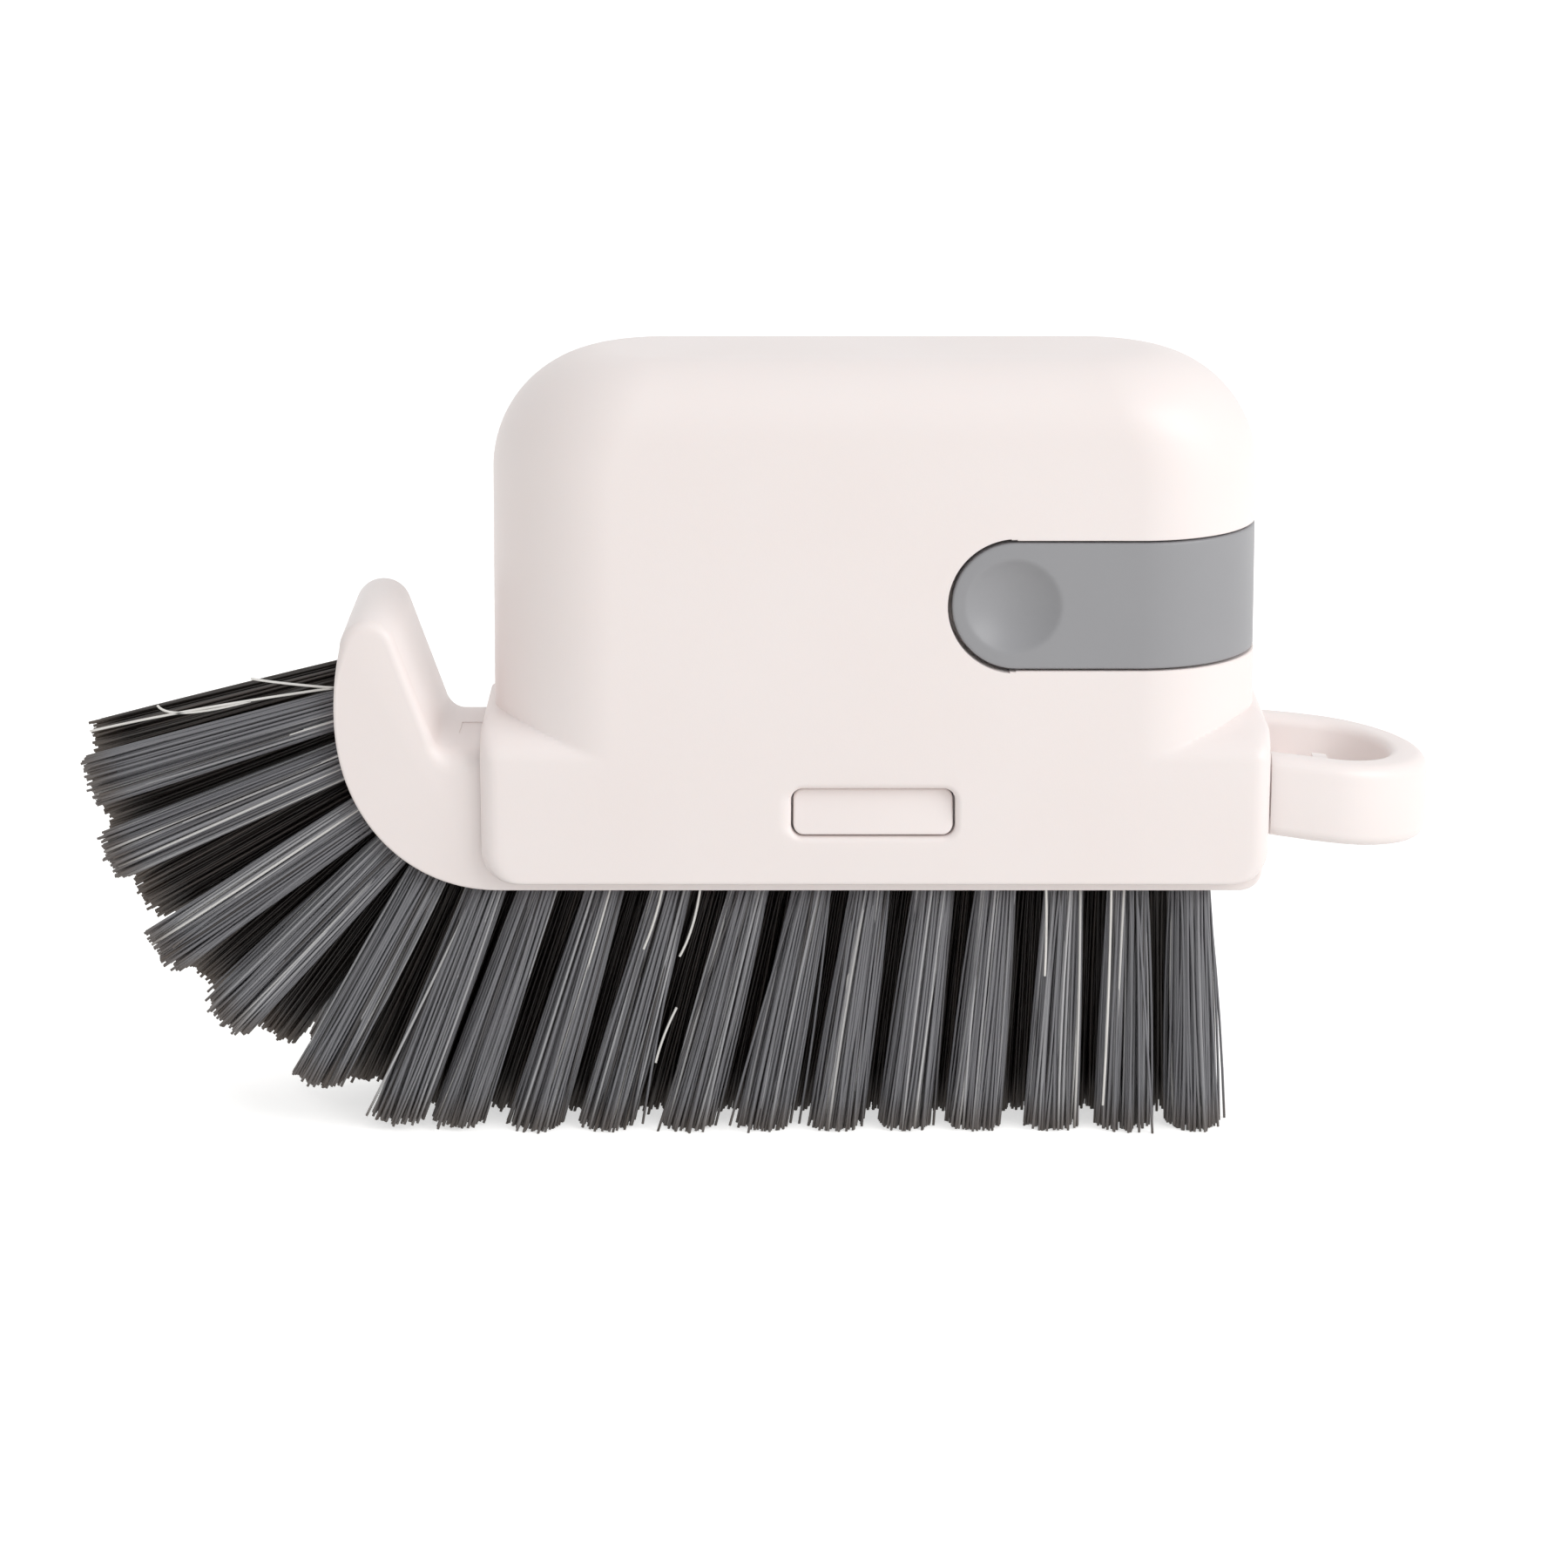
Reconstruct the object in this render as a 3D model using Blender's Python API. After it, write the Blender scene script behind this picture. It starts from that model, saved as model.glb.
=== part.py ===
"""Window track brush: a brush head with a curved nose, under a hollow palm housing that snaps on.

Lengths are in metres. The sub-parts are drawn round the middle of the housing, with height zero
at the foot of its skirt, and the front is towards -Y. The whole brush is then set down so that
the bristle tips stand on the ground at the middle of its length.
"""
import math
import random

import bmesh
import bpy
from mathutils import Vector

# Clearances
PIECE_GAP = 0.0003
OVERRUN = 0.002

# Housing: a hollow palm grip that ends in a square skirt
HOUSING_LENGTH = 0.0892
HOUSING_DEPTH = 0.029
HOUSING_HEIGHT = 0.0600
HOUSING_DRAFT = 0.0006
HOUSING_END_FLAT = 0.0015
HOUSING_END_RADIUS = HOUSING_DEPTH / 2 - HOUSING_END_FLAT
END_ROUND_SHARE = 0.97
CROWN_CORNER_RADIUS = 0.01375
CROWN_EDGE_RADIUS = 0.008
HOUSING_WALL = 0.0022
SKIRT_LAP = 0.0009
SKIRT_LENGTH = HOUSING_LENGTH + 2 * SKIRT_LAP
SKIRT_HEIGHT = 0.0184
SKIRT_WALL = 0.002
SKIRT_CORNER_RADIUS = 0.0024
SKIRT_FOOT_RADIUS = 0.0033
SKIRT_EDGE_RADIUS = 0.0009
SKIRT_SHOULDER_RISE = 0.0042
SKIRT_SHOULDER_DEPTH = 0.009
SKIRT_TOP_RADIUS = 0.0015

# Window in each long wall of the skirt, where a catch on the head shows and is pressed
WINDOW_WIDTH = 0.0189
WINDOW_HEIGHT = 0.0057
WINDOW_CENTER_X = -0.00025
WINDOW_CENTER_Z = 0.00865
WINDOW_CORNER_RADIUS = 0.0008
WINDOW_CHAMFER = 0.0005

# Catch: a pressed tab that rides in a pocket of the head and fills the window
CATCH_PLATE_THICKNESS = 0.0014
CATCH_PLATE_FOOT = 0.0040
CATCH_PLATE_TOP = 0.0136
CATCH_SIDE_GAP = 0.0005
CATCH_SETBACK = 0.0001
CATCH_RAMP = 0.0011
CATCH_TRAVEL = 0.0023
CATCH_POCKET_BACK_GAP = 0.0008

# Clip: a pinch clip that wraps the right end of the housing
CLIP_HEIGHT = 0.0147
CLIP_CENTER_Z = 0.03255
CLIP_LENGTH = 0.0363
CLIP_TIP_X = HOUSING_LENGTH / 2 - CLIP_LENGTH
CLIP_THICKNESS = 0.0016
CLIP_EDGE_GAP = 0.0003
CLIP_TIP_GAP = 0.00055
CLIP_BACKING_WALL = 0.0018
CLIP_BACKING_MARGIN = 0.0025
DIMPLE_RADIUS = 0.006
DIMPLE_DEPTH = 0.0009

# Brush head: the ribbed block in the housing, with a hooked nose in front of it
HEAD_WALL_GAP = 0.0005
HEAD_DEPTH = HOUSING_DEPTH - 2 * (SKIRT_WALL + HEAD_WALL_GAP)
HEAD_TOP = 0.0148
HEAD_DROP = 0.0018
HEAD_HEEL_SET_IN = 0.0005
HEAD_HEEL_X = SKIRT_LENGTH / 2 - HEAD_HEEL_SET_IN
HEAD_HEEL_RADIUS = 0.0025
HEAD_SIDE_GAP = 0.0004
HEAD_FLOOR = 0.007
HEAD_RIB = 0.0022
HEAD_POCKET_COUNT = 6
HEAD_POCKET_WALL = 0.001
CATCH_POCKET_INNER = HEAD_DEPTH / 2 - CATCH_PLATE_THICKNESS - CATCH_TRAVEL - CATCH_POCKET_BACK_GAP
HEAD_POCKET_DEPTH = 2 * (CATCH_POCKET_INNER - HEAD_POCKET_WALL)
HEAD_END_WALL = 0.0045
HEAD_POCKET_REACH = HEAD_HEEL_X - HEAD_END_WALL
NOSE_START_SET_IN = 0.002
NOSE_START_X = NOSE_START_SET_IN - SKIRT_LENGTH / 2
NOSE_REACH = 0.0188
NOSE_RISE = 0.0209
NOSE_FULLNESS = 2.1
HOOK_TOP_Z = 0.0309
HOOK_TOP_RADIUS = 0.00265
HOOK_TIP_SET_IN = 0.0014
HOOK_ROOT_GAP = 0.0039
HOOK_ROOT_X = -SKIRT_LENGTH / 2 - HOOK_ROOT_GAP
HOOK_FILLET_RADIUS = 0.0032
HOOK_EDGE_RADIUS = 0.0022

# Hanging loop on the heel of the head
LOOP_SEAM = 0.0008
LOOP_START_X = HEAD_HEEL_X + LOOP_SEAM
LOOP_SWELL = 0.0004
LOOP_DEPTH = HEAD_DEPTH + LOOP_SWELL
LOOP_FLARE = 0.0012
LOOP_NECK_DEPTH = LOOP_DEPTH - LOOP_FLARE
LOOP_STRAIGHT = 0.0075
LOOP_END_X = LOOP_START_X + LOOP_STRAIGHT + LOOP_DEPTH / 2
LOOP_HEIGHT = 0.0078
LOOP_TOP_Z = 0.0133
LOOP_WALL = 0.0039
LOOP_WEB_LENGTH = 0.0046
LOOP_WEB_TOP_Z = 0.0091
LOOP_WEB_THICKNESS = 0.0035
LOOP_NIB = 0.0012
LOOP_EDGE_RADIUS = 0.0008
LOOP_DROOP_ANGLE = math.radians(5)
TONGUE_LENGTH = 0.007
TONGUE_WIDTH_SHARE = 0.58
TONGUE_WIDTH = HEAD_DEPTH * TONGUE_WIDTH_SHARE

# Bristles: tufts set in a backing that is let into the sole and the nose of the head
BRISTLE_LENGTH = 0.0314
BRISTLE_LEAN_LOSS = 0.0013
BRISTLE_DROP = BRISTLE_LENGTH - BRISTLE_LEAN_LOSS
NOSE_TRIM = 0.0013
NOSE_BRISTLE_LENGTH = BRISTLE_LENGTH - NOSE_TRIM
TIP_UNEVENNESS = 0.0009
TRIM_DEPTH = 0.0005
STRAND_WIDTH = 0.0009
TUFT_ROOT_RADIUS = 0.0013
TUFT_TIP_RADIUS = 0.0021
TUFT_STRAND_COUNT = 6
TUFT_PITCH_SHARE = 0.08475
TUFT_PITCH = (HEAD_HEEL_X - NOSE_START_X) * TUFT_PITCH_SHARE
NOSE_TUFT_PITCH = 0.006
FIRST_TUFT_DISTANCE = 0.0053
ROW_PITCH_SHARE = 0.3167
ROW_PITCH = HEAD_DEPTH * ROW_PITCH_SHARE
SOLE_TUFT_COUNT = 13
NOSE_LOWER_COUNT = 2
NOSE_UPPER_COUNT = 2
BACKING_THICKNESS = 0.0012
BACKING_LIP = 0.0015
STRAND_SEED = 7

# Lean of a tuft towards the nose, in degrees from straight down, against the share of the
# tufted line that lies between it and the heel
LEAN_SHARES = ((0.0, -4.0), (0.10, 0.0), (0.22, 4.5), (0.34, 8.0), (0.46, 14.5), (0.58, 16.0), (0.70, 21.0),
               (0.76, 28.0), (0.83, 43.0), (0.87, 54.0), (0.91, 67.0), (0.96, 73.5), (1.0, 77.0))

ROUND_PROFILE_SHARE = 0.5
ROUND_STEPS = 7
CROWN_STEPS = 10
FILLET_STEPS = 4
NOSE_STEPS = 14
DISC_STEPS = 28

PLASTIC_WHITE = (0.88, 0.83, 0.80, 1.0)
PLASTIC_GREY = (0.35, 0.35, 0.36, 1.0)
BRISTLE_GREY = (0.15, 0.15, 0.155, 1.0)


def clear_scene():
    for item in list(bpy.data.objects):
        bpy.data.objects.remove(item, do_unlink=True)


def make_material(name, colour, roughness):
    material = bpy.data.materials.new(name)
    material.use_nodes = True
    shader = material.node_tree.nodes["Principled BSDF"]
    shader.inputs["Base Color"].default_value = colour
    shader.inputs["Roughness"].default_value = roughness
    shader.inputs["Metallic"].default_value = 0.0
    material.diffuse_color = colour
    return material


def object_from_bmesh(name, mesh_data):
    bmesh.ops.recalc_face_normals(mesh_data, faces=mesh_data.faces)
    mesh = bpy.data.meshes.new(name)
    mesh_data.to_mesh(mesh)
    mesh_data.free()
    item = bpy.data.objects.new(name, mesh)
    bpy.context.scene.collection.objects.link(item)
    return item


def loft(name, rings):
    """A closed solid through rings that have the same number of points."""
    mesh_data = bmesh.new()
    loops = [[mesh_data.verts.new(point) for point in ring] for ring in rings]
    for lower, upper in zip(loops, loops[1:]):
        for index in range(len(lower)):
            after = (index + 1) % len(lower)
            mesh_data.faces.new((lower[index], lower[after], upper[after], upper[index]))
    mesh_data.faces.new(list(reversed(loops[0])))
    mesh_data.faces.new(loops[-1])
    return object_from_bmesh(name, mesh_data)


def prism_y(name, outline, y_low, y_high):
    """An outline of (x, z) points made solid between two depths."""
    rings = [[(x, y, z) for x, z in outline] for y in (y_low, y_high)]
    return loft(name, rings)


def block(name, low, high):
    outline = [(low[0], low[2]), (high[0], low[2]), (high[0], high[2]), (low[0], high[2])]
    return prism_y(name, outline, low[1], high[1])


def combine(target, other, operation):
    """Cuts, joins or intersects the target with the other solid, which is used up."""
    modifier = target.modifiers.new(operation, "BOOLEAN")
    modifier.operation = operation
    modifier.solver = "EXACT"
    modifier.object = other
    depsgraph = bpy.context.evaluated_depsgraph_get()
    result = bpy.data.meshes.new_from_object(target.evaluated_get(depsgraph))
    target.modifiers.clear()
    old_mesh = target.data
    target.data = result
    result.name = target.name
    bpy.data.meshes.remove(old_mesh)
    bpy.data.objects.remove(other, do_unlink=True)
    return target


def cut(target, other):
    return combine(target, other, "DIFFERENCE")


def fuse(target, other):
    return combine(target, other, "UNION")


def keep_common(target, other):
    return combine(target, other, "INTERSECT")


def arc(center_a, center_b, radius, start, end, steps):
    """Points along part of a circle, from one angle to another, in degrees."""
    points = []
    for step in range(steps + 1):
        angle = math.radians(start + (end - start) * step / steps)
        points.append((center_a + radius * math.cos(angle), center_b + radius * math.sin(angle)))
    return points


def rounded_rectangle(half_a, half_b, radius, steps=ROUND_STEPS):
    points = []
    for sign_a, sign_b, start in ((1, 1, 0), (-1, 1, 90), (-1, -1, 180), (1, -1, 270)):
        center_a = sign_a * (half_a - radius)
        center_b = sign_b * (half_b - radius)
        points += arc(center_a, center_b, radius, start, start + 90, steps)
    return points


def set_in(height, start, radius):
    """How far a quarter round has drawn in at a height above its start."""
    rise = min(max(height - start, 0), radius)
    return radius - math.sqrt(radius * radius - rise * rise)


def housing_ring(height, inset):
    """The outline of the grip at a height, drawn in by an even inset."""
    corner_start = HOUSING_HEIGHT - CROWN_CORNER_RADIUS
    edge_start = HOUSING_HEIGHT - CROWN_EDGE_RADIUS
    half_x = HOUSING_LENGTH / 2 - HOUSING_DRAFT * height / HOUSING_HEIGHT - inset
    half_x -= set_in(height, corner_start, CROWN_CORNER_RADIUS - inset)
    half_y = HOUSING_DEPTH / 2 - inset - set_in(height, edge_start, CROWN_EDGE_RADIUS - inset)
    radius = min(HOUSING_END_RADIUS - inset, half_y * END_ROUND_SHARE)
    return [(x, y, height) for x, y in rounded_rectangle(half_x, half_y, radius)]


def housing_form(name, inset, foot):
    """The lozenge grip from a foot height up to its crown."""
    radius = CROWN_CORNER_RADIUS - inset
    start = HOUSING_HEIGHT - CROWN_CORNER_RADIUS
    heights = [foot]
    for step in range(CROWN_STEPS + 1):
        heights.append(start + radius * math.sin(math.radians(90) * step / CROWN_STEPS))
    return loft(name, [housing_ring(height, inset) for height in heights])


def skirt_form(name, inset, foot):
    """The square skirt with rounded lower corners and a shoulder that rolls in to the grip."""
    rise = SKIRT_SHOULDER_RISE - inset
    reach = SKIRT_SHOULDER_DEPTH - inset
    shoulder_start = SKIRT_HEIGHT - SKIRT_SHOULDER_RISE
    top = SKIRT_HEIGHT - inset
    sections = []
    if inset == 0:
        for step in range(FILLET_STEPS + 1):
            angle = math.radians(90) * step / FILLET_STEPS
            height = SKIRT_FOOT_RADIUS * (1 - math.cos(angle))
            end_set_in = SKIRT_FOOT_RADIUS * (1 - math.sin(angle))
            side_set_in = set_in(SKIRT_EDGE_RADIUS - height, 0, SKIRT_EDGE_RADIUS)
            sections.append((height, end_set_in, side_set_in))
    else:
        sections.append((foot, 0, 0))
    for step in range(ROUND_STEPS + 1):
        angle = math.radians(90) * step / ROUND_STEPS
        height = shoulder_start + rise * math.sin(angle)
        end_set_in = set_in(height, top - SKIRT_TOP_RADIUS, SKIRT_TOP_RADIUS)
        sections.append((height, end_set_in, reach * (1 - math.cos(angle))))
    rings = []
    for height, end_set_in, side_set_in in sections:
        half_x = SKIRT_LENGTH / 2 - inset - end_set_in
        half_y = HOUSING_DEPTH / 2 - inset - side_set_in
        outline = rounded_rectangle(half_x, half_y, max(SKIRT_CORNER_RADIUS - inset, PIECE_GAP), FILLET_STEPS)
        rings.append([(x, y, height) for x, y in outline])
    return loft(name, rings)


def clip_outline(edge_gap, tip_gap, reach):
    """The clip's outline from the side: a round tip, with straight edges towards the right."""
    half = CLIP_HEIGHT / 2
    center_x = CLIP_TIP_X + half
    points = [(reach, CLIP_CENTER_Z + half + edge_gap)]
    points += arc(center_x, CLIP_CENTER_Z, half + tip_gap, 90, 270, 2 * ROUND_STEPS)
    points.append((reach, CLIP_CENTER_Z - half - edge_gap))
    if tip_gap > edge_gap:
        points.insert(1, (center_x, CLIP_CENTER_Z + half + edge_gap))
        points.insert(-1, (center_x, CLIP_CENTER_Z - half - edge_gap))
    return points


def window_cutter(side):
    """A rounded window that flares out at the outer face of the skirt."""
    outer_y = HOUSING_DEPTH / 2
    rings = []
    for depth, grow in ((outer_y + OVERRUN, WINDOW_CHAMFER + OVERRUN), (outer_y - WINDOW_CHAMFER, 0),
                        (outer_y - SKIRT_WALL - OVERRUN, 0)):
        half_x = WINDOW_WIDTH / 2 + grow
        half_z = WINDOW_HEIGHT / 2 + grow
        outline = rounded_rectangle(half_x, half_z, WINDOW_CORNER_RADIUS + grow, FILLET_STEPS)
        rings.append([(WINDOW_CENTER_X + x, side * depth, WINDOW_CENTER_Z + z) for x, z in outline])
    return loft("window_cutter", rings)


def make_housing():
    """Shell of the grip and skirt, hollow and open below, with its windows and clip recess."""
    far_x = SKIRT_LENGTH / 2 + OVERRUN
    far_y = HOUSING_DEPTH / 2 + OVERRUN
    foot = SKIRT_HEIGHT / 2
    shell = skirt_form("housing_shell", 0, 0)
    fuse(shell, housing_form("grip", 0, foot))

    hollow = housing_form("hollow", HOUSING_WALL, -OVERRUN)
    backing_wall = CLIP_THICKNESS + PIECE_GAP + CLIP_BACKING_WALL
    backing_half = CLIP_HEIGHT / 2 + CLIP_BACKING_MARGIN
    backing_low = (CLIP_TIP_X - CLIP_BACKING_MARGIN, -far_y, CLIP_CENTER_Z - backing_half)
    backing_high = (far_x, far_y, CLIP_CENTER_Z + backing_half)
    backing = block("backing", backing_low, backing_high)
    cut(backing, housing_form("backing_core", backing_wall, 0))
    cut(hollow, backing)
    cut(shell, hollow)
    cut(shell, skirt_form("skirt_hollow", SKIRT_WALL, -OVERRUN))

    passage_half = HEAD_DEPTH / 2 + HEAD_SIDE_GAP
    passage_top = HEAD_TOP + HEAD_SIDE_GAP
    cut(shell, block("passage", (-far_x, -passage_half, -OVERRUN), (far_x, passage_half, passage_top)))
    for side in (-1, 1):
        cut(shell, window_cutter(side))

    recess = prism_y("recess", clip_outline(CLIP_EDGE_GAP, CLIP_TIP_GAP, far_x), -far_y, far_y)
    cut(recess, housing_form("recess_core", CLIP_THICKNESS + PIECE_GAP, foot))
    cut(shell, recess)
    return shell


def make_clip():
    """U-shaped clip, flush with the housing, with a round finger dimple on each arm."""
    far_x = SKIRT_LENGTH / 2 + OVERRUN
    far_y = HOUSING_DEPTH / 2 + OVERRUN
    foot = SKIRT_HEIGHT / 2
    clip = prism_y("side_clip", clip_outline(0, 0, far_x), -far_y, far_y)
    keep_common(clip, housing_form("clip_outside", 0, foot))
    cut(clip, housing_form("clip_inside", CLIP_THICKNESS, foot))
    ball_radius = (DIMPLE_RADIUS ** 2 + DIMPLE_DEPTH ** 2) / (2 * DIMPLE_DEPTH)
    for side in (-1, 1):
        center = Vector((CLIP_TIP_X + CLIP_HEIGHT / 2, 0, CLIP_CENTER_Z))
        rings = []
        for step in range(FILLET_STEPS):
            share = 1 - step / FILLET_STEPS
            ring_radius = (DIMPLE_RADIUS + DIMPLE_DEPTH) * share
            sunk = ball_radius - math.sqrt(ball_radius ** 2 - ring_radius ** 2)
            depth = HOUSING_DEPTH / 2 - DIMPLE_DEPTH + sunk
            circle = arc(center.x, center.z, ring_radius, 0, 360, DISC_STEPS)[:-1]
            rings.append([(x, side * depth, z) for x, z in circle])
        cut(clip, loft("dimple", rings))
    return clip


def tufted_line():
    """The outer line of the head from the heel, along the sole and up the nose, as (x, z)."""
    center_z = NOSE_RISE - HEAD_DROP
    points = [(HEAD_HEEL_X - HEAD_HEEL_RADIUS, -HEAD_DROP)]
    for step in range(NOSE_STEPS + 1):
        angle = math.radians(90) * step / NOSE_STEPS
        along = math.sin(angle) ** (2 / NOSE_FULLNESS)
        up = math.cos(angle) ** (2 / NOSE_FULLNESS)
        points.append((NOSE_START_X - NOSE_REACH * along, center_z - NOSE_RISE * up))
    hook_outer_x = NOSE_START_X - NOSE_REACH
    top_z = HOOK_TOP_Z - HOOK_TOP_RADIUS
    for step in range(1, FILLET_STEPS + 1):
        share = step / FILLET_STEPS
        points.append((hook_outer_x + HOOK_TIP_SET_IN * share ** 2, center_z + (top_z - center_z) * share))
    return points


def line_place(distance):
    """Point and outward direction at a distance along the tufted line from the heel."""
    points = [Vector(point) for point in tufted_line()]
    for start, end in zip(points, points[1:]):
        length = (end - start).length
        if distance <= length or end == points[-1]:
            along = (end - start) / length
            return start + along * distance, Vector((along.y, -along.x)) * -1
        distance -= length


def line_length(last_height):
    """Distance along the tufted line from the heel to where it reaches a height on the nose."""
    points = [Vector(point) for point in tufted_line()]
    total = 0
    for start, end in zip(points, points[1:]):
        length = (end - start).length
        if end.y > last_height:
            return total + length * (last_height - start.y) / (end.y - start.y)
        total += length
    return total


def backing_band(name, start, end, outer, inner, y_low, y_high):
    """A band that follows the tufted line between two distances and two offsets into the head."""
    distances = [start]
    total = 0
    points = [Vector(point) for point in tufted_line()]
    for first, second in zip(points, points[1:]):
        total += (second - first).length
        if start < total < end:
            distances.append(total)
    distances.append(end)
    outside = []
    inside = []
    for distance in distances:
        point, outward = line_place(distance)
        before = line_place(max(distance - PIECE_GAP, start))[1]
        after = line_place(min(distance + PIECE_GAP, end))[1]
        outward = (before + after).normalized()
        outside.append(tuple(point + outward * outer))
        inside.append(tuple(point - outward * inner))
    return prism_y(name, outside + inside[::-1], y_low, y_high)


def make_head():
    """Ribbed block with the hooked nose, and pockets for the catches, the backing and the loop."""
    half = HEAD_DEPTH / 2
    outline = tufted_line()
    top_center_z = HOOK_TOP_Z - HOOK_TOP_RADIUS
    top_center_x = outline[-1][0] + HOOK_TOP_RADIUS
    outline += arc(top_center_x, top_center_z, HOOK_TOP_RADIUS, 180, 25, 2 * FILLET_STEPS)[1:]
    fillet_x = HOOK_ROOT_X + HOOK_FILLET_RADIUS
    fillet_z = HEAD_TOP + HOOK_FILLET_RADIUS
    outline += arc(fillet_x, fillet_z, HOOK_FILLET_RADIUS, 205, 270, FILLET_STEPS)
    outline.append((HEAD_HEEL_X, HEAD_TOP))
    heel_x = HEAD_HEEL_X - HEAD_HEEL_RADIUS
    heel_z = HEAD_HEEL_RADIUS - HEAD_DROP
    outline += arc(heel_x, heel_z, HEAD_HEEL_RADIUS, 0, -90, FILLET_STEPS)[:-1]
    head = prism_y("brush_base", outline, -half, half)

    mesh_data = bmesh.new()
    mesh_data.from_mesh(head.data)
    rounded = []
    for edge in mesh_data.edges:
        first, second = (vert.co for vert in edge.verts)
        on_face = abs(first.y - second.y) < PIECE_GAP
        on_hook = min(first.z, second.z) > top_center_z - PIECE_GAP
        on_inside = min(first.z, second.z) > HEAD_TOP - PIECE_GAP and min(first.x, second.x) > top_center_x
        if on_face and (on_hook or on_inside):
            rounded.append(edge)
    bmesh.ops.bevel(mesh_data, geom=rounded, offset=HOOK_EDGE_RADIUS, segments=FILLET_STEPS,
                    profile=ROUND_PROFILE_SHARE, affect="EDGES", clamp_overlap=False)
    mesh_data.to_mesh(head.data)
    mesh_data.free()

    tuft_end = line_length(HOOK_TOP_Z - 2 * HOOK_TOP_RADIUS)
    channel_half = half - BACKING_LIP
    channel_depth = BACKING_THICKNESS + PIECE_GAP
    cut(head, backing_band("channel", BACKING_LIP, tuft_end, OVERRUN, channel_depth,
                           -channel_half, channel_half))

    pitch = 2 * HEAD_POCKET_REACH / HEAD_POCKET_COUNT
    for index in range(HEAD_POCKET_COUNT):
        low_x = -HEAD_POCKET_REACH + pitch * index + HEAD_RIB / 2
        low = (low_x, -HEAD_POCKET_DEPTH / 2, HEAD_FLOOR)
        high = (low_x + pitch - HEAD_RIB, HEAD_POCKET_DEPTH / 2, HEAD_TOP + OVERRUN)
        cut(head, block("pocket", low, high))

    catch_half = WINDOW_WIDTH / 2 - CATCH_SIDE_GAP + PIECE_GAP
    for side in (-1, 1):
        near_y = min(side * CATCH_POCKET_INNER, side * (half + OVERRUN))
        far_y = max(side * CATCH_POCKET_INNER, side * (half + OVERRUN))
        low = (WINDOW_CENTER_X - catch_half, near_y, CATCH_PLATE_FOOT - PIECE_GAP)
        high = (WINDOW_CENTER_X + catch_half, far_y, HEAD_TOP + OVERRUN)
        cut(head, block("catch_pocket", low, high))

    tongue_half = TONGUE_WIDTH / 2 + PIECE_GAP
    low = (HEAD_HEEL_X - TONGUE_LENGTH, -tongue_half, LOOP_WEB_TOP_Z - LOOP_WEB_THICKNESS)
    high = (HEAD_HEEL_X + OVERRUN, tongue_half, LOOP_WEB_TOP_Z - PIECE_GAP)
    cut(head, block("tongue_slot", low, high))
    return head


def make_loop():
    """Hanging loop: a round-ended ring that droops a little, on a web and a tongue."""
    neck_half = LOOP_NECK_DEPTH / 2
    half = LOOP_DEPTH / 2
    center_x = LOOP_END_X - half
    outer = [(LOOP_START_X, -neck_half), (LOOP_START_X + LOOP_WEB_LENGTH, -half)]
    outer += arc(center_x, 0, half, -90, 90, 2 * ROUND_STEPS)
    outer += [(LOOP_START_X + LOOP_WEB_LENGTH, half), (LOOP_START_X, neck_half)]
    low_z = LOOP_TOP_Z - LOOP_HEIGHT
    ring = loft("hanging_loop", [[(x, y, z) for x, y in outer] for z in (low_z, LOOP_TOP_Z)])
    mesh_data = bmesh.new()
    mesh_data.from_mesh(ring.data)
    edges = [edge for edge in mesh_data.edges
             if abs(edge.verts[0].co.z - edge.verts[1].co.z) < PIECE_GAP
             and max(vert.co.x for vert in edge.verts) > LOOP_START_X + PIECE_GAP]
    bmesh.ops.bevel(mesh_data, geom=edges, offset=LOOP_EDGE_RADIUS, segments=2,
                    profile=ROUND_PROFILE_SHARE, affect="EDGES", clamp_overlap=True)
    mesh_data.to_mesh(ring.data)
    mesh_data.free()

    inner_half = half - LOOP_WALL
    hole = [(LOOP_START_X - OVERRUN, -inner_half)]
    hole += arc(center_x, 0, inner_half, -90, 90, 2 * ROUND_STEPS)
    hole.append((LOOP_START_X - OVERRUN, inner_half))
    rings = [[(x, y, z) for x, y in hole] for z in (low_z - OVERRUN, LOOP_TOP_Z + OVERRUN)]
    cut(ring, loft("hole", rings))

    web_end = LOOP_START_X + LOOP_WEB_LENGTH
    web_half = half - LOOP_WALL / 2
    web_low_z = LOOP_WEB_TOP_Z - LOOP_WEB_THICKNESS
    web_low = (LOOP_START_X + PIECE_GAP, -web_half, web_low_z)
    fuse(ring, block("web", web_low, (web_end, web_half, LOOP_WEB_TOP_Z)))
    nib_low = (web_end - LOOP_NIB / 2, -web_half, LOOP_WEB_TOP_Z - LOOP_NIB)
    nib_high = (web_end + LOOP_NIB / 2, -inner_half + LOOP_NIB, LOOP_TOP_Z - LOOP_EDGE_RADIUS)
    fuse(ring, block("nib", nib_low, nib_high))

    for vert in ring.data.vertices:
        along = vert.co.x - LOOP_START_X
        vert.co.z -= along * math.tan(LOOP_DROOP_ANGLE)
    tongue_low = (HEAD_HEEL_X - TONGUE_LENGTH + PIECE_GAP, -TONGUE_WIDTH / 2, web_low_z + PIECE_GAP)
    tongue_high = (LOOP_START_X + LOOP_WEB_LENGTH / 2, TONGUE_WIDTH / 2, LOOP_WEB_TOP_Z - 2 * PIECE_GAP)
    return fuse(ring, block("tongue", tongue_low, tongue_high))


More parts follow.
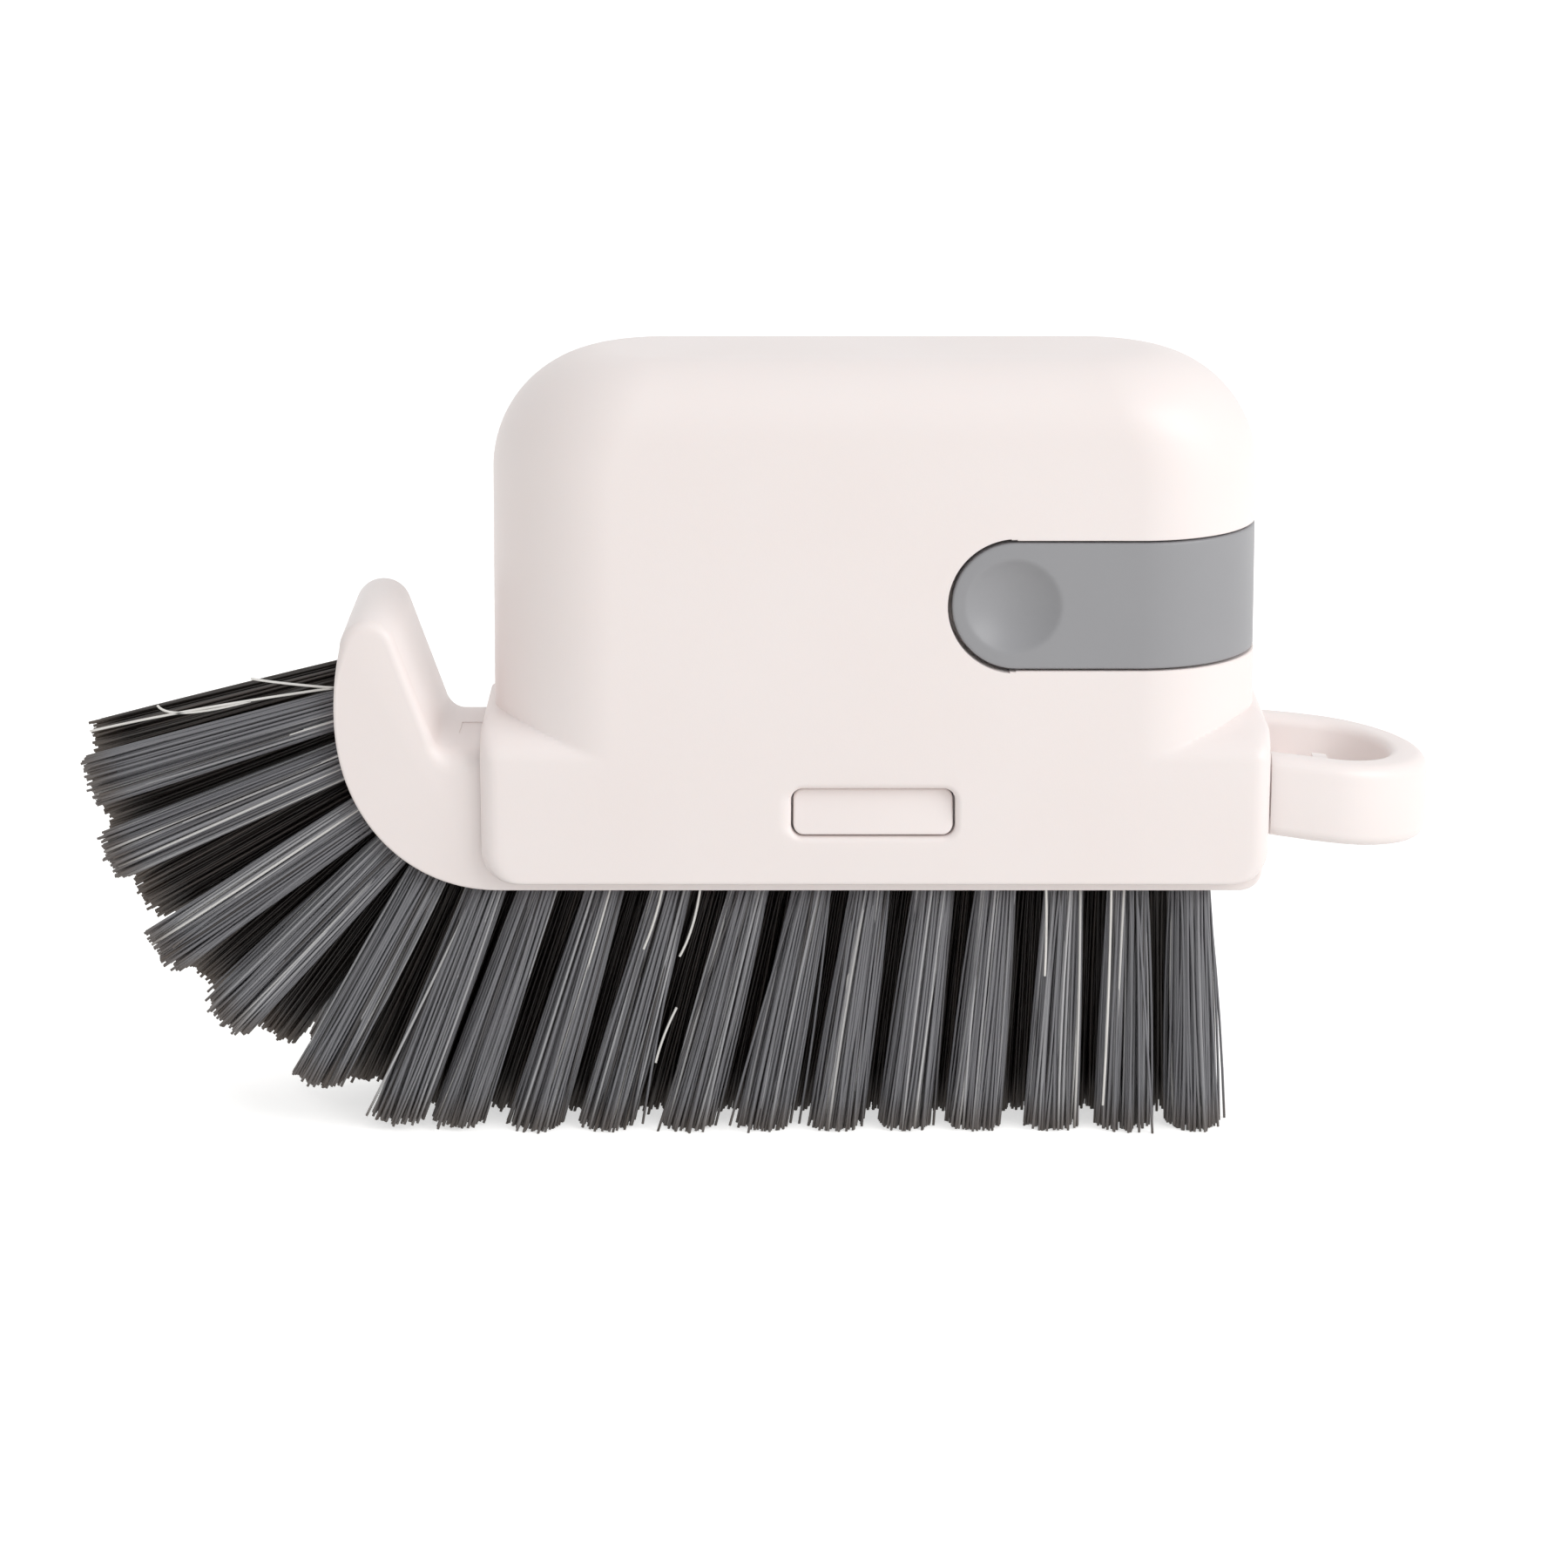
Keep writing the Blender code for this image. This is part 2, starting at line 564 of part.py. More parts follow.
def make_catch(name, side):
    """Spring tab with a ramped button that fills the skirt's window."""
    half_x = WINDOW_WIDTH / 2 - CATCH_SIDE_GAP
    outer = HEAD_DEPTH / 2
    inner = outer - CATCH_PLATE_THICKNESS
    button_low = WINDOW_CENTER_Z - WINDOW_HEIGHT / 2 + CATCH_SIDE_GAP
    button_top = WINDOW_CENTER_Z + WINDOW_HEIGHT / 2 - CATCH_SIDE_GAP
    button_face = HOUSING_DEPTH / 2 - CATCH_SETBACK
    outline = [(inner, CATCH_PLATE_FOOT), (outer, CATCH_PLATE_FOOT), (outer, button_low),
               (button_face, button_low), (button_face - CATCH_RAMP, button_top),
               (outer, button_top), (outer, CATCH_PLATE_TOP), (inner, CATCH_PLATE_TOP)]
    rings = []
    for x in (WINDOW_CENTER_X - half_x, WINDOW_CENTER_X + half_x):
        rings.append([(x, side * y, z) for y, z in outline])
    return loft(name, rings)


def lean_at(share):
    """Lean of a tuft, in radians, read between the chosen shares of the tufted line."""
    for (low, low_lean), (high, high_lean) in zip(LEAN_SHARES, LEAN_SHARES[1:]):
        if share <= high:
            blend = (share - low) / (high - low)
            return math.radians(low_lean + (high_lean - low_lean) * blend)
    return math.radians(LEAN_SHARES[-1][1])


def add_strand(mesh_data, root, tip, floor_z):
    """A four-sided strand from root to tip, cut level where it would pass the floor."""
    direction = (tip - root).normalized()
    across = direction.cross(Vector((0, 1, 0))).normalized() * STRAND_WIDTH / 2
    aside = direction.cross(across).normalized() * STRAND_WIDTH / 2
    corners = (across + aside, across - aside, -across - aside, -across + aside)
    start = [mesh_data.verts.new(root + corner) for corner in corners]
    end = []
    for corner in corners:
        place = tip + corner
        if tip.z - STRAND_WIDTH < floor_z:
            place += direction * (floor_z - place.z) / direction.z
        end.append(mesh_data.verts.new(place))
    for index in range(len(corners)):
        after = (index + 1) % len(corners)
        mesh_data.faces.new((start[index], start[after], end[after], end[index]))
    mesh_data.faces.new(start[::-1])
    mesh_data.faces.new(end)


def add_tuft(mesh_data, distance, depth, chance, whole_line):
    """A fanned tuft at a distance along the tufted line and at a depth across it."""
    floor_z = -HEAD_DROP - BRISTLE_DROP
    point, outward = line_place(distance)
    lean = lean_at(distance / whole_line)
    direction = Vector((-math.sin(lean), 0, -math.cos(lean)))
    reach = min(BRISTLE_LENGTH, (point.y - floor_z + TRIM_DEPTH) / -direction.z)
    if point.x < NOSE_START_X - NOSE_REACH / 4:
        reach = NOSE_BRISTLE_LENGTH
    sunk = -outward * BACKING_THICKNESS / 2
    root_center = Vector((point.x + sunk.x, depth, point.y + sunk.y))
    across = direction.cross(Vector((0, 1, 0))).normalized()
    turn = chance.uniform(0, math.radians(60))
    spokes = [(0, 0)]
    for index in range(TUFT_STRAND_COUNT):
        angle = turn + math.radians(360) * index / TUFT_STRAND_COUNT
        spokes.append((math.cos(angle), math.sin(angle)))
    for along, aside in spokes:
        spread = across * along + Vector((0, aside, 0))
        root = root_center + spread * TUFT_ROOT_RADIUS
        length = reach - chance.uniform(0, TIP_UNEVENNESS)
        tip = root_center + spread * TUFT_TIP_RADIUS + direction * (length + BACKING_THICKNESS / 2)
        add_strand(mesh_data, root, tip, floor_z)


def make_bristles(name, start, end, y_low, y_high, tufts):
    """A slice of the backing with its tufts, given as (distance, depth) places."""
    whole_line = line_length(HOOK_TOP_Z - 2 * HOOK_TOP_RADIUS)
    backing = backing_band(name, start, end, 0, BACKING_THICKNESS, y_low, y_high)
    chance = random.Random(STRAND_SEED + sum(ord(letter) for letter in name))
    mesh_data = bmesh.new()
    for distance, depth in tufts:
        add_tuft(mesh_data, distance, depth, chance, whole_line)
    return fuse(backing, object_from_bmesh("strands", mesh_data))


def make_all_bristles():
    """Three rows along the sole, then two sections across the nose."""
    backing_half = HEAD_DEPTH / 2 - BACKING_LIP - PIECE_GAP
    whole_line = line_length(HOOK_TOP_Z - 2 * HOOK_TOP_RADIUS)
    sole_start = BACKING_LIP + PIECE_GAP
    sole_end = FIRST_TUFT_DISTANCE + TUFT_PITCH * (SOLE_TUFT_COUNT - 1) + NOSE_TUFT_PITCH / 2
    split = ROW_PITCH / 2
    rows = (("bristles_front", -ROW_PITCH, -backing_half, -split - PIECE_GAP / 2, 0),
            ("bristles_middle", 0, -split + PIECE_GAP / 2, split - PIECE_GAP / 2, TUFT_PITCH / 2),
            ("bristles_back", ROW_PITCH, split + PIECE_GAP / 2, backing_half, 0))
    made = []
    for name, depth, y_low, y_high, shift in rows:
        count = SOLE_TUFT_COUNT - 1 if shift else SOLE_TUFT_COUNT
        first = FIRST_TUFT_DISTANCE + shift
        tufts = [(first + TUFT_PITCH * index, depth) for index in range(count)]
        made.append(make_bristles(name, sole_start, sole_end, y_low, y_high, tufts))
    start = sole_end
    for name, count in (("bristles_nose_lower", NOSE_LOWER_COUNT), ("bristles_nose_upper", NOSE_UPPER_COUNT)):
        end = start + NOSE_TUFT_PITCH * count
        if name == "bristles_nose_upper":
            end = min(end, whole_line - PIECE_GAP)
        tufts = []
        for depth in (-ROW_PITCH, 0, ROW_PITCH):
            for index in range(count):
                tufts.append((start + NOSE_TUFT_PITCH * index + NOSE_TUFT_PITCH / 2, depth))
        made.append(make_bristles(name, start + PIECE_GAP, end, -backing_half, backing_half, tufts))
        start = end
    return made


def add_frame(name, parent=None):
    frame = bpy.data.objects.new(name, None)
    bpy.context.scene.collection.objects.link(frame)
    frame.parent = parent
    return frame


def finish(item, material, frame, smooth_angle=32):
    item.data.materials.clear()
    item.data.materials.append(material)
    item.data.shade_smooth()
    item.data.set_sharp_from_angle(angle=math.radians(smooth_angle))
    item.parent = frame


def set_down(frame, items):
    """Moves the whole brush so that its tips stand at height zero, at the middle of its length."""
    corners = [vert.co for item in items for vert in item.data.vertices]
    low = Vector([min(corner[axis] for corner in corners) for axis in range(3)])
    high = Vector([max(corner[axis] for corner in corners) for axis in range(3)])
    frame.location = (-(low.x + high.x) / 2, -(low.y + high.y) / 2, -low.z)


def main():
    clear_scene()
    white = make_material("white_plastic", PLASTIC_WHITE, 0.38)
    grey = make_material("grey_plastic", PLASTIC_GREY, 0.42)
    bristle = make_material("grey_bristle", BRISTLE_GREY, 0.5)

    origin = add_frame("brush_frame")
    head_frame = add_frame("head_frame", origin)
    housing_frame = add_frame("housing_frame", head_frame)
    clip_frame = add_frame("clip_frame", housing_frame)
    catch_front_frame = add_frame("catch_front_frame", head_frame)
    catch_back_frame = add_frame("catch_back_frame", head_frame)

    placed = [(make_housing(), white, housing_frame),
              (make_clip(), grey, clip_frame),
              (make_head(), white, head_frame),
              (make_loop(), white, head_frame),
              (make_catch("catch_front", -1), white, catch_front_frame),
              (make_catch("catch_back", 1), white, catch_back_frame)]
    placed += [(item, bristle, head_frame) for item in make_all_bristles()]
    for item, material, frame in placed:
        finish(item, material, frame)
    set_down(origin, [item for item, material, frame in placed])
    bpy.context.view_layer.update()
    for item, material, frame in placed:
        item.data.calc_loop_triangles()
        print(item.name, len(item.data.loop_triangles), "triangles")
    print("origin", tuple(round(value, 6) for value in origin.location))


main()
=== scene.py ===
import math

import bmesh
import bpy
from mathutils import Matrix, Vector
from mathutils.geometry import delaunay_2d_cdt


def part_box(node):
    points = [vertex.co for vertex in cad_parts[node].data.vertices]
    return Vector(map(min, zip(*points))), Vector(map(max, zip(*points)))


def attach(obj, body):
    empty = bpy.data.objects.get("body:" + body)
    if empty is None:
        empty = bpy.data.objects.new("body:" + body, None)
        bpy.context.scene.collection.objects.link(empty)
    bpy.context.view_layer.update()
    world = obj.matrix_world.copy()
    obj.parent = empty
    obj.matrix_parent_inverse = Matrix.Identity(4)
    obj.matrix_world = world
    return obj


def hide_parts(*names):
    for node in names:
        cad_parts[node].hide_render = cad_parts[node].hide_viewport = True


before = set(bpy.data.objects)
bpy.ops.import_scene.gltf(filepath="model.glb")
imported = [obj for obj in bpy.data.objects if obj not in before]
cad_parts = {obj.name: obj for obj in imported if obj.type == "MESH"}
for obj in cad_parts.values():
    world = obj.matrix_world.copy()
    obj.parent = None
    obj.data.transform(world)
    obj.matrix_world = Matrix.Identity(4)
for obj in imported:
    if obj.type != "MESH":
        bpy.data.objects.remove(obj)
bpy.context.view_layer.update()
mm = 0.001
overrun = 2.0     # mm, how far a cutting solid runs past a face
print("frame loaded:", ", ".join(sorted(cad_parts)))

# everything is drawn in millimetres round the middle of the housing, height zero at the skirt's foot
housingLow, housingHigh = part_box("housing_shell")
middleX = (housingLow[0] + housingHigh[0]) / 2
footZ = housingLow[2]


def place(point):  # from millimetres round the housing to the frame's metres
    return (point[0] * mm + middleX, point[1] * mm, point[2] * mm + footZ)


# helpers that the pieces share

def arc(centreA, centreB, radius, start, end, steps):
    points = []
    for step in range(steps + 1):
        angle = math.radians(start + (end - start) * step / steps)
        points.append((centreA + radius * math.cos(angle), centreB + radius * math.sin(angle)))
    return points


def quarterRound(radius, steps):  # (rise, drawn in) up a rounded edge
    angles = [math.radians(90 * step / steps) for step in range(steps + 1)]
    return [(radius * (1 - math.cos(angle)), radius * (1 - math.sin(angle))) for angle in angles]


def quarterHeights(start, rise, steps):  # heights that close up towards the top of a quarter round
    return [start + rise * math.sin(math.radians(90 * step / steps)) for step in range(steps + 1)]


def roundBox(halfA, halfB, radius, steps):
    points = []
    for signA, signB, start in ((1, 1, 0), (-1, 1, 90), (-1, -1, 180), (1, -1, 270)):
        points += arc(signA * (halfA - radius), signB * (halfB - radius), radius, start, start + 90, steps)
    return points


def addObject(name, data):
    made = bpy.data.objects.new(name, data)
    bpy.context.scene.collection.objects.link(made)
    return made


def objectFromMesh(name, meshData):
    mesh = bpy.data.meshes.new(name)
    meshData.to_mesh(mesh)
    meshData.free()
    return addObject(name, mesh)


def skin(meshData, rings):  # faces through rings of equal count, closed at both ends
    loops = [[meshData.verts.new(place(point)) for point in ring] for ring in rings]
    count = len(loops[0])
    for lower, upper in zip(loops, loops[1:]):
        for index in range(count):
            after = (index + 1) % count
            meshData.faces.new((lower[index], lower[after], upper[after], upper[index]))
    meshData.faces.new(loops[0][::-1])
    meshData.faces.new(loops[-1])


def loft(name, rings):
    meshData = bmesh.new()
    skin(meshData, rings)
    bmesh.ops.recalc_face_normals(meshData, faces=meshData.faces)
    if meshData.calc_volume(signed=True) < 0:     # a thin crescent can come out inside out
        bmesh.ops.reverse_faces(meshData, faces=meshData.faces)
    return objectFromMesh(name, meshData)


def slab(name, outline, low, high):  # (x, z) outline made solid between two depths
    return loft(name, [[(x, y, z) for x, z in outline] for y in (low, high)])


def block(name, low, high):
    outline = [(low[0], low[2]), (high[0], low[2]), (high[0], high[2]), (low[0], high[2])]
    return slab(name, outline, low[1], high[1])


def applyModifiers(piece):  # the evaluated mesh takes the place of the piece's own
    evaluated = piece.evaluated_get(bpy.context.evaluated_depsgraph_get())
    result = bpy.data.meshes.new_from_object(evaluated)
    piece.modifiers.clear()
    oldMesh = piece.data
    piece.data = result
    bpy.data.meshes.remove(oldMesh)
    result.name = piece.name


def carve(piece, other, how="DIFFERENCE"):  # boolean, then the other solid is used up
    modifier = piece.modifiers.new("carve", "BOOLEAN")
    modifier.operation = how
    modifier.solver = "EXACT"
    modifier.object = other
    applyModifiers(piece)
    bpy.data.objects.remove(other, do_unlink=True)


def softShade(piece, angle=34):  # edges sharper than this many degrees stay crisp
    piece.data.shade_smooth()
    piece.data.set_sharp_from_angle(angle=math.radians(angle))


def finishPiece(piece, material, body, slotName, *nodes):
    piece.data.materials.clear()
    piece.data.materials.append(material)
    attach(piece, body)
    if nodes:
        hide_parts(*nodes)
    piece.data.calc_loop_triangles()
    print("piece", piece.name, len(piece.data.loop_triangles), "triangles")


def linear(hexText):  # sRGB hex to the linear colour that nodes read
    channels = [int(hexText[index:index + 2], 16) / 255 for index in (0, 2, 4)]
    return [c / 12.92 if c <= 0.04045 else ((c + 0.055) / 1.055) ** 2.4 for c in channels] + [1.0]


def addNode(tree, kind, settings=None, inputs=None):  # inputs by name or number, each a value or a link
    node = tree.nodes.new(kind)
    for key, value in (settings or {}).items():
        setattr(node, key, value)
    for key, value in (inputs or {}).items():
        socket = node.inputs[key]
        if isinstance(value, bpy.types.NodeSocket):
            tree.links.new(value, socket)
        else:
            socket.default_value = value
    return node


def newMaterial(name):
    material = bpy.data.materials.new(name)
    material.use_nodes = True
    tree = material.node_tree
    tree.nodes.clear()
    output = addNode(tree, "ShaderNodeOutputMaterial")
    return material, tree, output


plastic = {
    "white": {"colour": "F6EEEC", "tint": "F3E9E6", "roughness": 0.40, "glow": 0.06},     # warm off-white
    "grey": {"colour": "9A9A9D", "tint": "929295", "roughness": 0.44, "glow": 0.0},
    "flowSize": 22.0,         # mm, slow change from the colour to the tint over a moulding
    "satinSpread": 0.03,      # the roughness goes up and down with it by this much
    "grainSize": 0.16,        # mm, spark-eroded mould grain is nearer 0.05, drawn coarser so that it shows
    "grainDepth": 0.02, "grainStrength": 0.35,
    "glowReach": (1.0, 0.75, 0.6), "glowScale": 0.8,    # light inside: red, green and blue shares of the mm
    "ior": 1.53,
}


# injection-moulded ABS: even colour, and a satin face from the mould's grain that spreads the highlights
def mouldedPlastic(name, look):
    material, tree, output = newMaterial(name)
    coords = addNode(tree, "ShaderNodeTexCoord")
    flow = addNode(tree, "ShaderNodeTexNoise", {"noise_dimensions": "3D"},
                   {"Vector": coords.outputs["Object"], "Scale": 1 / (plastic["flowSize"] * mm),
                    "Detail": 2.0, "Roughness": 0.5})
    tone = addNode(tree, "ShaderNodeMix", {"data_type": "RGBA"},
                   {"Factor": flow.outputs["Fac"], 6: linear(look["colour"]), 7: linear(look["tint"])})
    mould = addNode(tree, "ShaderNodeTexNoise", {"noise_dimensions": "3D"},
                    {"Vector": coords.outputs["Object"], "Scale": 1 / (plastic["grainSize"] * mm),
                     "Detail": 3.0, "Roughness": 0.6})
    satin = addNode(tree, "ShaderNodeMapRange", None,
                    {"Value": flow.outputs["Fac"], "From Min": 0.3, "From Max": 0.7,
                     "To Min": look["roughness"] - plastic["satinSpread"],
                     "To Max": look["roughness"] + plastic["satinSpread"]})
    relief = addNode(tree, "ShaderNodeBump", None,
                     {"Strength": plastic["grainStrength"], "Distance": plastic["grainDepth"] * mm,
                      "Height": mould.outputs["Fac"]})
    shader = addNode(tree, "ShaderNodeBsdfPrincipled", None,
                     {"Base Color": tone.outputs[2], "Roughness": satin.outputs["Result"],
                      "IOR": plastic["ior"], "Normal": relief.outputs["Normal"],
                      "Subsurface Weight": look["glow"], "Subsurface Radius": plastic["glowReach"],
                      "Subsurface Scale": plastic["glowScale"] * mm})
    tree.links.new(shader.outputs["BSDF"], output.inputs["Surface"])
    return material


filament = {
    "grey": "77777B", "light": "B4B4B6", "dark": "2B2624",     # outer rows: mid grey, lit and shaded strands
    # the middle row's charcoal is partly painted shade for the gaps between the front tufts; its lighter
    # strands are painted highlight
    "inner": "2A2522", "innerLight": "4E4743",                 # middle row: charcoal with a brown cast
    # near-white strands are painted light: bright lines in the tufts, and the backdrop seen between the tufts
    "paintedLightStrand": "E4E2DE",                                         # painted light
    "tip": "6E6259", "tipFrom": 0.88, "tipShare": 0.7,         # cut ends look brown and dull
    "outerTones": ((0.0, "dark"), (0.12, "grey"), (0.72, "grey"), (0.95, "light"), (1.0, "paintedLightStrand")),
    "innerTones": ((0.0, "inner"), (0.7, "inner"), (1.0, "innerLight")),
    "roughness": 0.42, "ior": 1.53,
}


# extruded nylon: round strands with a soft shine along them and dull cut ends
def nylonFilament(name):
    material, tree, output = newMaterial(name)
    tone = addNode(tree, "ShaderNodeAttribute", {"attribute_name": "tone"})
    along = addNode(tree, "ShaderNodeAttribute", {"attribute_name": "along"})
    inner = addNode(tree, "ShaderNodeAttribute", {"attribute_name": "inner"})
    colours = []
    for stops in (filament["outerTones"], filament["innerTones"]):
        ramp = addNode(tree, "ShaderNodeValToRGB", None, {"Fac": tone.outputs["Fac"]})
        elements = ramp.color_ramp.elements
        while len(elements) < len(stops):
            elements.new(0.5)
        for element, (position, key) in zip(elements, stops):
            element.position = position
            element.color = linear(filament[key])
        colours.append(ramp.outputs["Color"])
    rowMix = addNode(tree, "ShaderNodeMix", {"data_type": "RGBA"},
                     {"Factor": inner.outputs["Fac"], 6: colours[0], 7: colours[1]})
    endShare = addNode(tree, "ShaderNodeMapRange", None,
                       {"Value": along.outputs["Fac"], "From Min": filament["tipFrom"], "From Max": 1.0,
                        "To Min": 0.0, "To Max": filament["tipShare"]})
    coloured = addNode(tree, "ShaderNodeMix", {"data_type": "RGBA"},
                       {"Factor": endShare.outputs["Result"], 6: rowMix.outputs[2],
                        7: linear(filament["tip"])})
    shader = addNode(tree, "ShaderNodeBsdfPrincipled", None,
                     {"Base Color": coloured.outputs[2], "Roughness": filament["roughness"],
                      "IOR": filament["ior"]})
    tree.links.new(shader.outputs["BSDF"], output.inputs["Surface"])
    return material


whitePlastic = mouldedPlastic("whiteAbs", plastic["white"])
greyPlastic = mouldedPlastic("greyAbs", plastic["grey"])
filamentNylon = nylonFilament("nylonFilament")
print("materials ready")


# housing: hollow palm grip that flows into a square skirt
housing = {
    "length": 89.2, "depth": 29.0, "height": 60.0, "draft": 0.6, "wall": 2.2,
    "endRadius": 14.2, "endRoundShare": 0.99, "cornerRadius": 13.75, "edgeRadius": 8.0,
    "skirtLength": 91.0, "skirtHeight": 18.4, "skirtWall": 2.0, "skirtCorner": 2.0, "leastCorner": 0.3,
    "footRadius": 3.3, "footEdge": 0.4, "footDrop": 0.4, "footFade": 2.5,    # the height where the drop ends
    "shoulderRise": 4.2, "shoulderDepth": 9.0, "skirtTopRadius": 1.5, "creaseBlend": 0.25,
    "passageHalf": 12.4, "passageTop": 15.2,
    "coreLow": 15.0, "coreHigh": 46.0,     # the stretch of the grip that the clip lies in
    "rayHalfX": 26.0, "rayHalfY": 1.0, "raysPerCorner": 90, "raySpacing": 1.0, "endRays": 4,
    "rayReach": 40.0, "rayHalvings": 18,
    "footSections": (0.0, 0.06, 0.15, 0.28, 0.45, 0.65, 0.9, 1.3, 1.8, 2.5, 3.3, 6.0, 11.0),
    "skirtTopGap": 0.001, "gripSections": (19.4, 24.0, 32.0, 40.0), "hollowSections": (10.0, 30.0),
    "shoulderSteps": 18, "crownSteps": 26, "hollowCrownSteps": 12, "hollowShoulderSteps": 6,
}
window = {"width": 18.9, "height": 5.7, "centreX": -0.25, "centreZ": 8.25, "cornerRadius": 1.4,
          "cornerSteps": 8, "flare": 0.8, "flareSteps": 8, "outside": 0.5, "inside": 1.0,
          "leftFlare": 2.0}      # the lip's left side slopes in twice as far
clip = {
    "height": 14.7, "centreZ": 32.7, "tipX": 8.6, "thickness": 2.4, "setIn": 0.08, "edgeRound": 0.3,
    "edgeGap": 0.25, "tipGap": 0.35, "outlineSteps": 56,
    "lipSteps": ((0.05, 0.14), (0.12, 0.05)),     # two shallow steps round the recess: wider by, and depth
    "grooveOut": 0.15, "grooveIn": 0.3, "grooveFloor": 0.3, "grooveEnds": 5, "grooveSteps": 40,
    "backingWall": 1.8, "backingMargin": 2.5,
    "dimpleRadius": 5.4, "dimpleShift": 0.3, "dimpleDepth": 1.9, "dimpleRim": 0.27,
    "dimpleRings": (1, 2, 3, 3.8, 4.4, 4.8, 5.05, 5.25, 5.4, 5.55, 5.7, 5.9), "dimpleSteps": 72,
    "straightSteps": 14, "bendSteps": 46, "tipSteps": 48, "edgeSteps": 5, "rimRing": 0.8, "weld": 1e-5,
}


def drawIn(height, start, radius):  # how far a quarter round has drawn in above its start
    rise = min(max(height - start, 0), radius)
    return radius - math.sqrt(radius * radius - rise * rise)


def gripSection(z, inset=0.0):
    h = housing
    halfX = h["length"] / 2 - h["draft"] * z / h["height"] - inset
    halfX -= drawIn(z, h["height"] - h["cornerRadius"], h["cornerRadius"] - inset)
    halfY = h["depth"] / 2 - inset - drawIn(z, h["height"] - h["edgeRadius"], h["edgeRadius"] - inset)
    return halfX, halfY, min(h["endRadius"] - inset, halfY * h["endRoundShare"])


def skirtSection(z, inset=0.0):
    h = housing
    endIn = sideIn = 0.0
    if inset == 0:     # only the outside has a rounded foot
        endIn = drawIn(h["footRadius"] - z, 0, h["footRadius"])
        sideIn = drawIn(h["footEdge"] - z, 0, h["footEdge"])
    start = h["skirtHeight"] - h["shoulderRise"]
    if z > start:
        share = min((z - start) / (h["shoulderRise"] - inset), 1.0)
        sideIn = (h["shoulderDepth"] - inset) * (1 - math.sqrt(1 - share * share))
        endIn = drawIn(z, h["skirtHeight"] - inset - h["skirtTopRadius"], h["skirtTopRadius"])
    halfX = h["skirtLength"] / 2 - inset - endIn
    halfY = h["depth"] / 2 - inset - sideIn
    return halfX, halfY, max(h["skirtCorner"] - inset, h["leastCorner"]), sideIn


def boxDistance(x, y, halfX, halfY, radius):
    qx = abs(x) - halfX + radius
    qy = abs(y) - halfY + radius
    return math.hypot(max(qx, 0), max(qy, 0)) + min(max(qx, qy), 0) - radius


def planRays():  # starts and directions all round, dense at the ends
    h = housing
    baseX, baseY = h["rayHalfX"], h["rayHalfY"]
    steps = h["raysPerCorner"]
    corners = ((baseX, baseY), (-baseX, baseY), (-baseX, -baseY), (baseX, -baseY))
    rays = []
    for quarter, (cx, cy) in enumerate(corners):
        for step in range(steps + 1):
            angle = math.radians(90 * quarter + 90 * step / steps)
            rays.append((cx, cy, math.cos(angle), math.sin(angle)))
        along = h["endRays"] if quarter % 2 else round(2 * baseX / h["raySpacing"])
        nextX, nextY = corners[(quarter + 1) % 4]
        outX, outY = ((0, 1), (-1, 0), (0, -1), (1, 0))[quarter]
        for step in range(1, along):
            share = step / along
            rays.append((cx + (nextX - cx) * share, cy + (nextY - cy) * share, outX, outY))
    return rays


houseRays = planRays()


def housingRing(z, inset=0.0, skirt=True, grip=True, atZ=None):  # where rays meet the outline at a height
    h = housing
    gripSize = gripSection(z, inset)
    skirtSize = skirtSection(z, inset) if skirt and z <= h["skirtHeight"] - inset + 1e-6 else None
    blend = min(h["creaseBlend"], skirtSize[3]) if skirtSize else 0
    ring = []
    for startX, startY, dirX, dirY in houseRays:
        low, high = 0.0, h["rayReach"]
        for halving in range(h["rayHalvings"]):
            reach = (low + high) / 2
            x, y = startX + dirX * reach, startY + dirY * reach
            distance = boxDistance(x, y, *gripSize) if grip else math.inf
            if skirtSize:
                other = boxDistance(x, y, *skirtSize[:3])
                if z <= h["skirtHeight"] - h["shoulderRise"]:
                    distance = other
                elif blend > 0:
                    overlap = max(blend - abs(distance - other), 0) / blend
                    distance = min(distance, other) - overlap * overlap * blend / 4
                else:
                    distance = min(distance, other)
            if distance > 0:
                high = reach
            else:
                low = reach
        ring.append((startX + dirX * low, startY + dirY * low, z if atZ is None else atZ))
    return ring


def shellHeights():
    h = housing
    heights = list(h["footSections"])
    heights += quarterHeights(h["skirtHeight"] - h["shoulderRise"], h["shoulderRise"], h["shoulderSteps"])
    heights += [h["skirtHeight"] + h["skirtTopGap"], *h["gripSections"]]
    return heights + quarterHeights(h["height"] - h["cornerRadius"], h["cornerRadius"], h["crownSteps"])


def gripCore(name, inset):  # plain stretch of the grip, for cutting to its face
    low, high = housing["coreLow"], housing["coreHigh"]
    return loft(name, [housingRing(z, inset, skirt=False) for z in (low, 0.5 * (low + high), high)])


def recessOutline(gap, tipGap, reach):  # the clip's outline with gaps, a round tip and straight edges
    half = clip["height"] / 2
    centreX, centreZ = clip["tipX"] + half, clip["centreZ"]
    points = [(reach, centreZ + half + gap), (centreX, centreZ + half + gap)]
    points += arc(centreX, centreZ, half + tipGap, 90, 270, clip["outlineSteps"])
    return points + [(centreX, centreZ - half - gap), (reach, centreZ - half - gap)]


